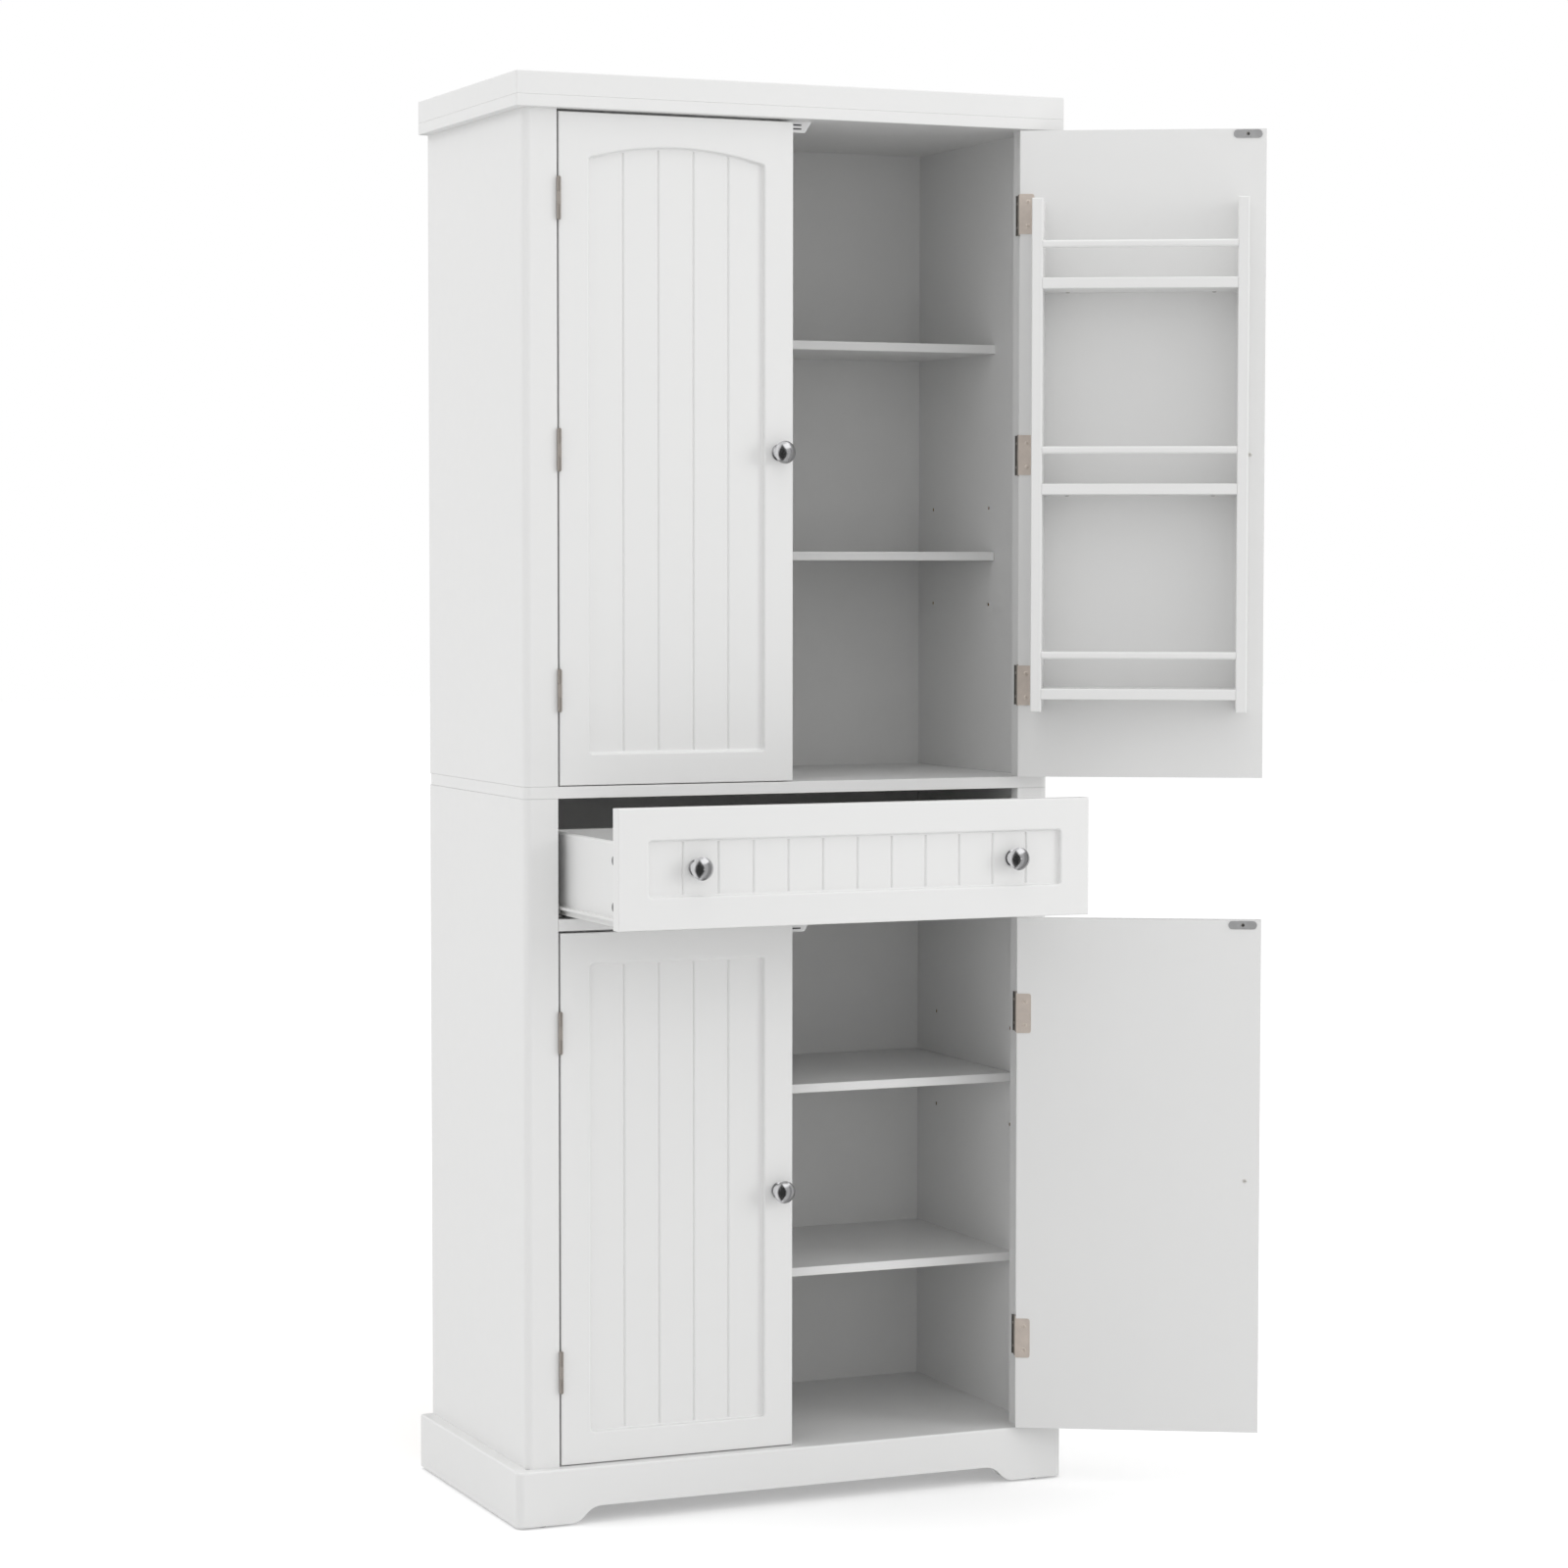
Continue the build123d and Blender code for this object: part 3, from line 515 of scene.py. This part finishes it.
def cross_head_tree():
    """Domed screw heads with a cross recess, one on each point, facing its way."""
    tree, given = make_tree("cross_head_screws", [
        ("Head Radius", "Float"), ("Head Height", "Float"), ("Cross Width", "Float"),
        ("Cross Depth", "Float"), ("Turn Seed", "Int"), ("Finish", "Material")])
    radius, height = given["Head Radius"], given["Head Height"]

    def scaled(value, share):
        return add_node(tree, "ShaderNodeMath", {0: value, 1: share},
                        operation="MULTIPLY").outputs["Value"]

    def triple(x, y, z):
        return add_node(tree, "ShaderNodeCombineXYZ",
                        {"X": x, "Y": y, "Z": z}).outputs["Vector"]

    def box(size, lift):
        cube = add_node(tree, "GeometryNodeMeshCube", {"Size": size})
        moved = add_node(tree, "GeometryNodeTransform", {
            "Geometry": cube.outputs["Mesh"], "Translation": triple(0.0, 0.0, lift)})
        return moved.outputs["Geometry"]

    ball = add_node(tree, "GeometryNodeMeshUVSphere",
                    {"Segments": 32, "Rings": 16, "Radius": 1.0})
    dome = add_node(tree, "GeometryNodeTransform", {
        "Geometry": ball.outputs["Mesh"], "Scale": triple(radius, radius, height)})
    block = scaled(radius, 4.0)
    below = box(triple(block, block, block), scaled(block, -0.5))
    bar_long = scaled(radius, 1.1)
    bar_deep = scaled(given["Cross Depth"], 2.0)
    bars = [box(triple(bar_long, given["Cross Width"], bar_deep), height),
            box(triple(given["Cross Width"], bar_long, bar_deep), height)]
    head = add_node(tree, "GeometryNodeMeshBoolean",
                    {"Mesh 1": dome.outputs["Geometry"]}, operation="DIFFERENCE")
    for cutter in [below] + bars:
        tree.links.new(cutter, head.inputs["Mesh 2"])
    facing = add_node(tree, "GeometryNodeInputNamedAttribute", {"Name": "facing"},
                      data_type="FLOAT_VECTOR").outputs["Attribute"]
    stand = add_node(tree, "FunctionNodeAlignRotationToVector", {"Vector": facing},
                     axis="Z").outputs["Rotation"]
    turn = add_node(tree, "FunctionNodeRandomValue",
                    {"Min": 0.0, "Max": pi, "Seed": given["Turn Seed"]},
                    data_type="FLOAT")
    twist = add_node(tree, "FunctionNodeAxisAngleToRotation",
                     {"Axis": (0, 0, 1), "Angle": turn.outputs[1]})
    turned = add_node(tree, "FunctionNodeRotateRotation", {
        "Rotation": stand, "Rotate By": twist.outputs["Rotation"]}, rotation_space="LOCAL")
    heads = add_node(tree, "GeometryNodeInstanceOnPoints", {
        "Points": given["Geometry"], "Instance": head.outputs["Mesh"],
        "Rotation": turned.outputs["Rotation"]})
    end_tree(tree, heads.outputs["Instances"], given["Finish"])
    return tree


def edge_nail_tree():
    """Flat nail heads along an upright rectangle, evenly spaced, facing the rear."""
    tree, given = make_tree("edge_nails", [
        ("Width", "Float"), ("Height", "Float"), ("Spacing", "Float"),
        ("Head Radius", "Float"), ("Head Height", "Float"), ("Finish", "Material")])
    outline = add_node(tree, "GeometryNodeCurvePrimitiveQuadrilateral",
                       {"Width": given["Width"], "Height": given["Height"]},
                       mode="RECTANGLE")
    path = add_node(tree, "GeometryNodeTransform", {
        "Geometry": outline.outputs["Curve"], "Rotation": (radians(90), 0, 0)})
    points = add_node(tree, "GeometryNodeCurveToPoints",
                      {"Curve": path.outputs["Geometry"], "Length": given["Spacing"]},
                      mode="LENGTH")
    nail = add_node(tree, "GeometryNodeMeshCone", {
        "Vertices": 16, "Radius Bottom": given["Head Radius"],
        "Radius Top": given["Head Radius"], "Depth": given["Head Height"]})
    rearward = add_node(tree, "GeometryNodeTransform", {
        "Geometry": nail.outputs["Mesh"], "Rotation": (radians(-90), 0, 0)})
    heads = add_node(tree, "GeometryNodeInstanceOnPoints", {
        "Points": points.outputs["Points"], "Instance": rearward.outputs["Geometry"]})
    end_tree(tree, heads.outputs["Instances"], given["Finish"])
    return tree


def shared(name, maker):
    """A tree or finish by name, made on first use."""
    for store in (bpy.data.node_groups, bpy.data.materials):
        if name in store:
            return store[name]
    return maker()


def bake_piece(piece, mesh, tree, sizes, body, shift=(0, 0, 0)):
    """Run a geometry tree on a mesh and keep the result as a plain piece on a body."""
    source = bpy.data.objects.new(piece + "_source", mesh)
    bpy.context.scene.collection.objects.link(source)
    modifier = source.modifiers.new("pattern", "NODES")
    modifier.node_group = tree
    for socket in tree.interface.items_tree:
        if socket.in_out == "INPUT" and socket.name in sizes:
            modifier[socket.identifier] = sizes[socket.name]
    bpy.context.view_layer.update()
    view = bpy.context.evaluated_depsgraph_get()
    made = bpy.data.meshes.new_from_object(source.evaluated_get(view))
    bpy.data.objects.remove(source)
    if not made.polygons:
        raise RuntimeError(piece + " came out empty")
    made.transform(Matrix.Translation(shift))
    made.shade_smooth()
    made.set_sharp_from_angle(angle=SHARP_EDGE)
    result = bpy.data.objects.new(piece, made)
    bpy.context.scene.collection.objects.link(result)
    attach(result, body)
    return result


def fasten(piece, body, spots, radius, height, finish):
    """Screw heads at spots, each a point and the way it faces."""
    cross_width, cross_depth = 0.26, 0.75
    mesh = bpy.data.meshes.new(piece + "_spots")
    mesh.from_pydata([spot[0] for spot in spots], [], [])
    facing = mesh.attributes.new("facing", "FLOAT_VECTOR", "POINT")
    for row, spot in zip(facing.data, spots):
        row.vector = spot[1]
    tree = shared("cross_head_screws", cross_head_tree)
    sizes = {"Head Radius": radius, "Head Height": height,
             "Cross Width": radius * cross_width, "Cross Depth": height * cross_depth,
             "Finish": finish, "Turn Seed": bpy.context.scene.pantry_fasteners.turn_seed}
    return bake_piece(piece, mesh, tree, sizes, body)


def zinc():
    """Plating of the plain screws, nails and pins."""
    metal = bpy.context.scene.pantry_metal
    return shared("zinc_plate", lambda: plated_metal(
        "zinc_plate", metal.screw, rough=0.32, brush=EVEN_GRAIN, depth=0.005 * MM))


def pale_plate():
    """Plating of the screws that hold the door knobs."""
    metal = bpy.context.scene.pantry_metal
    return shared("pale_plate", lambda: plated_metal(
        "pale_plate", metal.knob_screw, rough=0.5, brush=EVEN_GRAIN, depth=0.005 * MM,
        metallic=0.15))


# Operators, one for each piece or group of like pieces

class PANTRY_OT_paint_boards(bpy.types.Operator):
    """Paint the boards and face the back panels"""
    bl_idname = "pantry.paint_boards"
    bl_label = "Paint boards"

    def execute(self, context):
        paint = context.scene.pantry_paint
        # Heights of the mid board's faces, where the sides and uprights get a painted shade line.
        joints = [corner.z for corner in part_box("mid_board")]
        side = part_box("upper_left_side")
        dress(SIDE_BOARDS, painted_board("paint_bored", paint, "Z", side, joints))
        dress(UPRIGHT_BOARDS, painted_board("paint_upright", paint, "Z", joints=joints))
        dress(CROSSWISE_BOARDS, painted_board("paint_crosswise", paint, "X"))
        dress(DEEP_BOARDS, painted_board("paint_deep", paint, "Y"))
        dress(BACK_PANELS + ("drawer_bottom",), back_panel_board(paint))
        return {"FINISHED"}


class PANTRY_OT_finish_hinges(bpy.types.Operator):
    """Plate the hinge leaves, knuckles and pins"""
    bl_idname = "pantry.finish_hinges"
    bl_label = "Finish hinges"

    def execute(self, context):
        metal = context.scene.pantry_metal
        brushed = {"brush": (60.0, 60.0, 1500.0), "depth": 0.008 * MM}
        dress(tuple(door + "_hinge_leaves" for door in DOORS), plated_metal(
            "hinge_satin", metal.hinge, rough=0.42, metallic=0.35, knuckles=metal.barrel,
            **brushed))
        # Painted shade: the stile leaves get the near-black colour in place of the shade and dark
        # reflection they sit in.
        dress(("hinge_frame_leaves",), plated_metal(
            "hinge_frame_leaf", metal.shaded_frame_leaf, rough=0.38, metallic=0.6,
            knuckles=metal.barrel, **brushed))
        # Painted shade: the pins take the darker barrel colour as well.
        dress(("hinge_pins",), plated_metal(
            "hinge_barrel", metal.barrel, rough=0.38, metallic=0.6, **brushed))
        return {"FINISHED"}


class PANTRY_OT_finish_knobs(bpy.types.Operator):
    """Polish the knobs"""
    bl_idname = "pantry.finish_knobs"
    bl_label = "Finish knobs"

    def execute(self, context):
        metal = context.scene.pantry_metal
        bright = plated_metal("knob_polish", metal.knob, rough=0.22,
                              brush=(300.0, 300.0, 300.0), depth=0.002 * MM)
        dress(tuple(door + "_knob" for door in DOORS) + ("drawer_knobs",), bright)
        return {"FINISHED"}


class PANTRY_OT_finish_catches(bpy.types.Operator):
    """Finish the catches, their poles, the strike plates and the shelf pins"""
    bl_idname = "pantry.finish_catches"
    bl_label = "Finish catches"

    def execute(self, context):
        metal = context.scene.pantry_metal
        plastic = context.scene.pantry_plastic
        dress(tuple(door + "_strike_plate" for door in DOORS), plated_metal(
            "plate_steel", metal.plate, rough=0.4, brush=(1400.0, 40.0, 40.0),
            depth=0.006 * MM, metallic=0.45))
        dress(("catch_pole_plates",), plated_metal(
            "pole_steel", metal.cam, rough=0.45, brush=(60.0, 60.0, 900.0), depth=0.005 * MM))
        dress(("catch_housings",), moulded_plastic(
            "catch_plastic", plastic.catch, rough=0.45, grit=1200.0))
        dress(("shelf_pins",), zinc())
        return {"FINISHED"}


class PANTRY_OT_finish_runners(bpy.types.Operator):
    """Coat the drawer runners, rollers and foot glides"""
    bl_idname = "pantry.finish_runners"
    bl_label = "Finish runners"

    def execute(self, context):
        plastic = context.scene.pantry_plastic
        dress(("cabinet_runners", "drawer_runners"), moulded_plastic(
            "runner_coat", plastic.runner, rough=0.4, grit=1500.0))
        dress(("runner_front_rollers", "runner_rear_rollers"), moulded_plastic(
            "roller_plastic", plastic.roller, rough=0.5, grit=1100.0))
        dress(("foot_glides",), moulded_plastic(
            "glide_plastic", plastic.glide, rough=0.5, grit=900.0))
        return {"FINISHED"}


class PANTRY_OT_hinge_screws(bpy.types.Operator):
    """Put the screws in the hinge leaves on the doors and on the stiles"""
    bl_idname = "pantry.hinge_screws"
    bl_label = "Hinge screws"

    def execute(self, context):
        sizes = context.scene.pantry_fasteners
        satin = bpy.data.materials["hinge_satin"]
        dark = bpy.data.materials["hinge_barrel"]
        leaf_head = sizes.pan_height * 0.6
        stile_radius = sizes.screw_radius * 0.65
        inward = Vector((0, 1, 0))
        door_inset = 8.0 * MM
        stile_inset = 4.5 * MM
        leaf_thick = 1.0 * MM
        from_middle = 0.3
        for level in LEVELS:
            spots = []
            for low, high in solid_boxes(level + "_left_hinge_leaves"):
                mid = (low.z + high.z) / 2
                reach = (high.z - low.z) * from_middle
                for z in (mid - reach, mid + reach):
                    spots.append((Vector((high.x - door_inset, high.y, z)), inward))
            for side in SIDES:
                door = level + "_" + side
                fasten(door + "_hinge_screws", door + "_leaf",
                       on_door(door, spots), sizes.screw_radius, leaf_head, satin)
        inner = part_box("upper_right_stile")[0].x - leaf_thick
        frame_spots = []
        for low, high in solid_boxes("hinge_frame_leaves"):
            side = 1 if low.x > 0 else -1
            mid = (low.z + high.z) / 2
            reach = (high.z - low.z) * from_middle
            for z in (mid - reach, mid + reach):
                spot = Vector((side * inner, high.y - stile_inset, z))
                frame_spots.append((spot, Vector((-side, 0, 0))))
        fasten("stile_hinge_screws", "cabinet", frame_spots,
               stile_radius, sizes.flush_height, dark)
        return {"FINISHED"}


class PANTRY_OT_door_screws(bpy.types.Operator):
    """Put the knob screws and strike plate screws on the doors' inner faces"""
    bl_idname = "pantry.door_screws"
    bl_label = "Door screws"

    def execute(self, context):
        sizes = context.scene.pantry_fasteners
        knob_radius = sizes.screw_radius * 0.95
        strike_radius = sizes.screw_radius * 0.8
        inward = Vector((0, 1, 0))
        for level in LEVELS:
            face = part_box(level + "_left_door")[1].y
            knob = [sum(c) / 2 for c in zip(*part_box(level + "_left_knob"))]
            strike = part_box(level + "_left_strike_plate")
            middle = (strike[0] + strike[1]) / 2
            for side in SIDES:
                door = level + "_" + side
                body = door + "_leaf"
                spot = (Vector((knob[0], face, knob[2])), inward)
                fasten(door + "_knob_screw", body, on_door(door, [spot]),
                       knob_radius, sizes.pan_height, pale_plate())
                spot = (Vector((middle.x, strike[1].y, middle.z)), inward)
                fasten(door + "_strike_screw", body, on_door(door, [spot]),
                       strike_radius, sizes.flush_height, zinc())
        return {"FINISHED"}


class PANTRY_OT_rack_screws(bpy.types.Operator):
    """Put the screws under the door rack's shelves"""
    bl_idname = "pantry.rack_screws"
    bl_label = "Rack screws"

    def execute(self, context):
        sizes = context.scene.pantry_fasteners
        from_edge = 12.0 * MM
        pivot, turn = right_swing("upper")
        shut = turn.transposed()
        points = [pivot + shut @ (v.co - pivot)
                  for v in frame["nodes"]["rack_shelves"].data.vertices]
        xs = [p.x for p in points]
        start, width = min(xs), max(xs) - min(xs)
        y = min(p.y for p in points) + from_edge
        down = Vector((0, 0, -1))
        spots = []
        for low, high in solid_boxes("rack_shelves"):
            for share in (0.12, 0.88):
                spot = (Vector((start + share * width, y, low.z)), down)
                spots.append(swung_open("upper", spot))
        fasten("rack_shelf_screws", "upper_right_leaf", spots,
               sizes.screw_radius, sizes.pan_height, zinc())
        return {"FINISHED"}


class PANTRY_OT_drawer_fasteners(bpy.types.Operator):
    """Put cam locks, back screws and knob screws on the drawer"""
    bl_idname = "pantry.drawer_fasteners"
    bl_label = "Drawer fasteners"

    def execute(self, context):
        sizes = context.scene.pantry_fasteners
        metal = context.scene.pantry_metal
        low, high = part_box("drawer_left_side")
        inner_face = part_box("drawer_front")[1].y
        # Painted shade in part: the cams' near-black also stands in for the shade of their bores.
        dark = plated_metal("cam_metal", metal.cam, rough=0.42,
                            brush=(300.0, 300.0, 300.0), depth=0.01 * MM)
        outward, inward = Vector((-1, 0, 0)), Vector((0, 1, 0))
        cam_height = sizes.flush_height * 2
        cam_inset = 27.0 * MM
        screw_inset = 6.0 * MM
        cams = []
        screws = []
        for share in (0.22, 0.78):
            z = low.z + share * (high.z - low.z)
            cams.append((Vector((low.x, low.y + cam_inset, z)), outward))
            screws.append((Vector((low.x, high.y - screw_inset, z)), outward))
        both = cams + [other_side(s) for s in cams]
        fasten("drawer_cam_locks", "drawer", both, sizes.cam_radius,
               cam_height, dark)
        both = screws + [other_side(s) for s in screws]
        fasten("drawer_back_screws", "drawer", both, sizes.screw_radius,
               sizes.flush_height, zinc())
        backs = []
        for low, high in solid_boxes("drawer_knobs"):
            middle = (low + high) / 2
            backs.append((Vector((middle.x, inner_face, middle.z)), inward))
        fasten("drawer_knob_screws", "drawer", backs, sizes.screw_radius,
               sizes.pan_height, zinc())
        return {"FINISHED"}


class PANTRY_OT_runner_screws(bpy.types.Operator):
    """Put the screws along the fixed runners"""
    bl_idname = "pantry.runner_screws"
    bl_label = "Runner screws"

    def execute(self, context):
        sizes = context.scene.pantry_fasteners
        low, high = solid_boxes("cabinet_runners")[0]
        steel_thick = 1.2 * MM
        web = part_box("upper_left_stile")[1].x + steel_thick
        spots = []
        for share in (0.2, 0.5, 0.85):
            y = low.y + share * (high.y - low.y)
            spot = (Vector((web, y, (low.z + high.z) / 2)), Vector((1, 0, 0)))
            spots += [spot, other_side(spot)]
        fasten("runner_screws", "cabinet", spots, sizes.screw_radius,
               sizes.pan_height, zinc())
        return {"FINISHED"}


class PANTRY_OT_back_nails(bpy.types.Operator):
    """Nail the back panels round their edges"""
    bl_idname = "pantry.back_nails"
    bl_label = "Back nails"

    def execute(self, context):
        sizes = context.scene.pantry_fasteners
        edge = 4.0 * MM
        head_height = 0.4 * MM
        for panel in BACK_PANELS:
            low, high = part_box(panel)
            middle = (low + high) / 2
            given = {"Width": high.x - low.x - 2 * edge, "Height": high.z - low.z - 2 * edge,
                     "Spacing": sizes.nail_pitch, "Head Radius": sizes.nail_radius,
                     "Head Height": head_height, "Finish": zinc()}
            mesh = bpy.data.meshes.new(panel + "_edge")
            bake_piece(panel + "_nails", mesh, shared("edge_nails", edge_nail_tree), given,
                       "cabinet", (middle.x, high.y, middle.z))
        return {"FINISHED"}


class PANTRY_OT_stage(bpy.types.Operator):
    """Lay the pale floor, set the studio light and place the camera"""
    bl_idname = "pantry.stage"
    bl_label = "Studio"

    def execute(self, context):
        stage = context.scene.pantry_stage
        context.scene.view_settings.view_transform = "Standard"
        self.lay_floor(stage)
        self.light_room(context.scene, stage)
        self.hang_lamps(stage)
        for name, turns, tilts, shade, oval in STUDIO_CLOTHS:
            self.hang_cloth(name, turns, tilts, shade, oval)
        self.place_camera(context.scene, stage)
        return {"FINISHED"}

    def seen_rays(self, tree):
        """1 for rays from the camera and for what shows in metal or glass."""
        path = add_node(tree, "ShaderNodeLightPath").outputs
        both = add_node(tree, "ShaderNodeMath", {
            0: path["Is Camera Ray"], 1: path["Is Glossy Ray"]}, operation="MAXIMUM")
        seen = add_node(tree, "ShaderNodeMath", {
            0: both.outputs["Value"], 1: path["Is Transmission Ray"]}, operation="MAXIMUM")
        return seen.outputs["Value"]

    def lay_floor(self, stage):
        """Floor that shows a little brighter than its light makes it, with the shadow kept."""
        half = stage.floor_span / 2
        grey, glow_strength = 0.8, 0.3
        mesh = bpy.data.meshes.new("studio_floor")
        mesh.from_pydata([(-half, -half, 0), (half, -half, 0), (half, half, 0),
                          (-half, half, 0)], [], [(0, 1, 2, 3)])
        floor = bpy.data.objects.new("studio_floor", mesh)
        bpy.context.scene.collection.objects.link(floor)
        pale = bpy.data.materials.new("floor_pale")
        pale.use_nodes = True
        tree = pale.node_tree
        tree.nodes.clear()
        matt = add_node(tree, "ShaderNodeBsdfDiffuse", {"Color": rgba((grey, grey, grey))})
        glow = add_node(tree, "ShaderNodeEmission", {"Strength": glow_strength})
        lit = add_node(tree, "ShaderNodeAddShader",
                       {0: matt.outputs["BSDF"], 1: glow.outputs["Emission"]})
        pick = add_node(tree, "ShaderNodeMixShader", {
            0: self.seen_rays(tree), 1: matt.outputs["BSDF"], 2: lit.outputs["Shader"]})
        add_node(tree, "ShaderNodeOutputMaterial", {"Surface": pick.outputs["Shader"]})
        mesh.materials.append(pale)
        floor.visible_glossy = False

    def light_room(self, scene, stage):
        """Even light from all round, in front of white walls."""
        world = bpy.data.worlds.new("studio_room")
        world.use_nodes = True
        scene.world = world
        tree = world.node_tree
        tree.nodes.clear()
        room = add_node(tree, "ShaderNodeBackground",
                        {"Color": rgba((1, 1, 1)), "Strength": stage.ambient})
        wall = add_node(tree, "ShaderNodeBackground",
                        {"Color": rgba((1, 1, 1)), "Strength": 1.0})
        pick = add_node(tree, "ShaderNodeMixShader", {
            0: self.seen_rays(tree), 1: room.outputs["Background"],
            2: wall.outputs["Background"]})
        add_node(tree, "ShaderNodeOutputWorld", {"Surface": pick.outputs["Shader"]})

    def hang_lamps(self, stage):
        """Three wide lamps, turned to the middle of the cabinet."""
        aim = Vector((0.0, -0.1, 0.95))
        span = 2.6
        lamps = (("top_lamp", (-0.3, -0.9, 4.8), stage.top_power),
                 ("left_lamp", (-3.2, 1.2, 4.2), stage.left_power),
                 ("right_lamp", (4.2, -3.6, 2.0), stage.right_power))
        for name, place, power in lamps:
            lamp = bpy.data.lights.new(name, "AREA")
            lamp.shape = "DISK"
            lamp.size = span
            lamp.energy = power
            holder = bpy.data.objects.new(name, lamp)
            holder.location = place
            holder.rotation_euler = (aim - Vector(place)).to_track_quat("-Z", "Y").to_euler()
            bpy.context.scene.collection.objects.link(holder)
            holder.visible_glossy = False

    def hang_cloth(self, name, turns, tilts, shade, oval):
        """Cloth round the studio, there only to be mirrored in the bright metal."""
        steps = 24
        centre, radius = Vector((0, 0, 0.9)), 9.0
        middle, half = (turns[0] + turns[1]) / 2, (turns[1] - turns[0]) / 2
        points = []
        for row in range(steps + 1):
            tilt = radians(tilts[0] + (tilts[1] - tilts[0]) * row / steps)
            reach = half * sin(pi * (row + 0.5) / (steps + 1)) if oval else half
            for column in range(steps + 1):
                turn = radians(middle + reach * (2 * column / steps - 1))
                way = Vector((sin(turn) * cos(tilt), -cos(turn) * cos(tilt), sin(tilt)))
                points.append(centre + way * radius)
        wide = steps + 1
        faces = [(r * wide + c, r * wide + c + 1, (r + 1) * wide + c + 1, (r + 1) * wide + c)
                 for r in range(steps) for c in range(steps)]
        mesh = bpy.data.meshes.new(name)
        mesh.from_pydata(points, [], faces)
        cloth = bpy.data.objects.new(name, mesh)
        bpy.context.scene.collection.objects.link(cloth)
        cloth.visible_camera = False
        cloth.visible_diffuse = False
        cloth.visible_shadow = False
        cloth.visible_transmission = False
        dye = bpy.data.materials.new(name)
        dye.use_nodes = True
        tree = dye.node_tree
        tree.nodes.clear()
        glow = add_node(tree, "ShaderNodeEmission", {"Color": rgba((shade, shade, shade))})
        add_node(tree, "ShaderNodeOutputMaterial", {"Surface": glow.outputs["Emission"]})
        mesh.materials.append(dye)

    def place_camera(self, scene, stage):
        """Camera where the photograph was taken from."""
        yaw, pitch, roll = stage.camera_yaw, stage.camera_pitch, stage.camera_roll
        ahead = Vector((sin(yaw) * cos(pitch), cos(yaw) * cos(pitch), sin(pitch)))
        level = Vector((cos(yaw), -sin(yaw), 0))
        above = level.cross(ahead)
        right = level * cos(roll) + above * sin(roll)
        up = above * cos(roll) - level * sin(roll)
        lens = bpy.data.cameras.new("photo_camera")
        lens.lens = stage.lens
        lens.sensor_width = 36.0
        lens.clip_end = 200.0
        holder = bpy.data.objects.new("photo_camera", lens)
        turn = Matrix((right, up, -ahead)).transposed().to_4x4()
        holder.matrix_world = Matrix.Translation(stage.camera_place) @ turn
        scene.collection.objects.link(holder)
        scene.camera = holder


class PANTRY_PT_finish(bpy.types.Panel):
    """Lists the cabinet's finishing steps in order"""
    bl_idname = "PANTRY_PT_finish"
    bl_label = "Pantry cabinet"
    bl_space_type = "VIEW_3D"
    bl_region_type = "UI"
    bl_category = "Pantry"

    def draw(self, context):
        column = self.layout.column()
        for step in STEPS:
            column.operator(step.bl_idname)


SETTINGS = {
    "pantry_paint": PantryPaint,
    "pantry_metal": PantryMetal,
    "pantry_plastic": PantryPlastic,
    "pantry_fasteners": PantryFasteners,
    "pantry_stage": PantryStage,
}
STEPS = (
    PANTRY_OT_paint_boards,
    PANTRY_OT_finish_hinges,
    PANTRY_OT_finish_knobs,
    PANTRY_OT_finish_catches,
    PANTRY_OT_finish_runners,
    PANTRY_OT_hinge_screws,
    PANTRY_OT_door_screws,
    PANTRY_OT_rack_screws,
    PANTRY_OT_drawer_fasteners,
    PANTRY_OT_runner_screws,
    PANTRY_OT_back_nails,
    PANTRY_OT_stage,
)


def register():
    for kind in tuple(SETTINGS.values()) + STEPS + (PANTRY_PT_finish,):
        bpy.utils.register_class(kind)
    for name, kind in SETTINGS.items():
        setattr(bpy.types.Scene, name, PointerProperty(type=kind))


def unregister():
    for name in SETTINGS:
        delattr(bpy.types.Scene, name)
    for kind in reversed(tuple(SETTINGS.values()) + STEPS + (PANTRY_PT_finish,)):
        bpy.utils.unregister_class(kind)


def main():
    register()
    for step in STEPS:
        group, action = step.bl_idname.split(".")
        getattr(getattr(bpy.ops, group), action)()


if __name__ == "__main__":
    main()
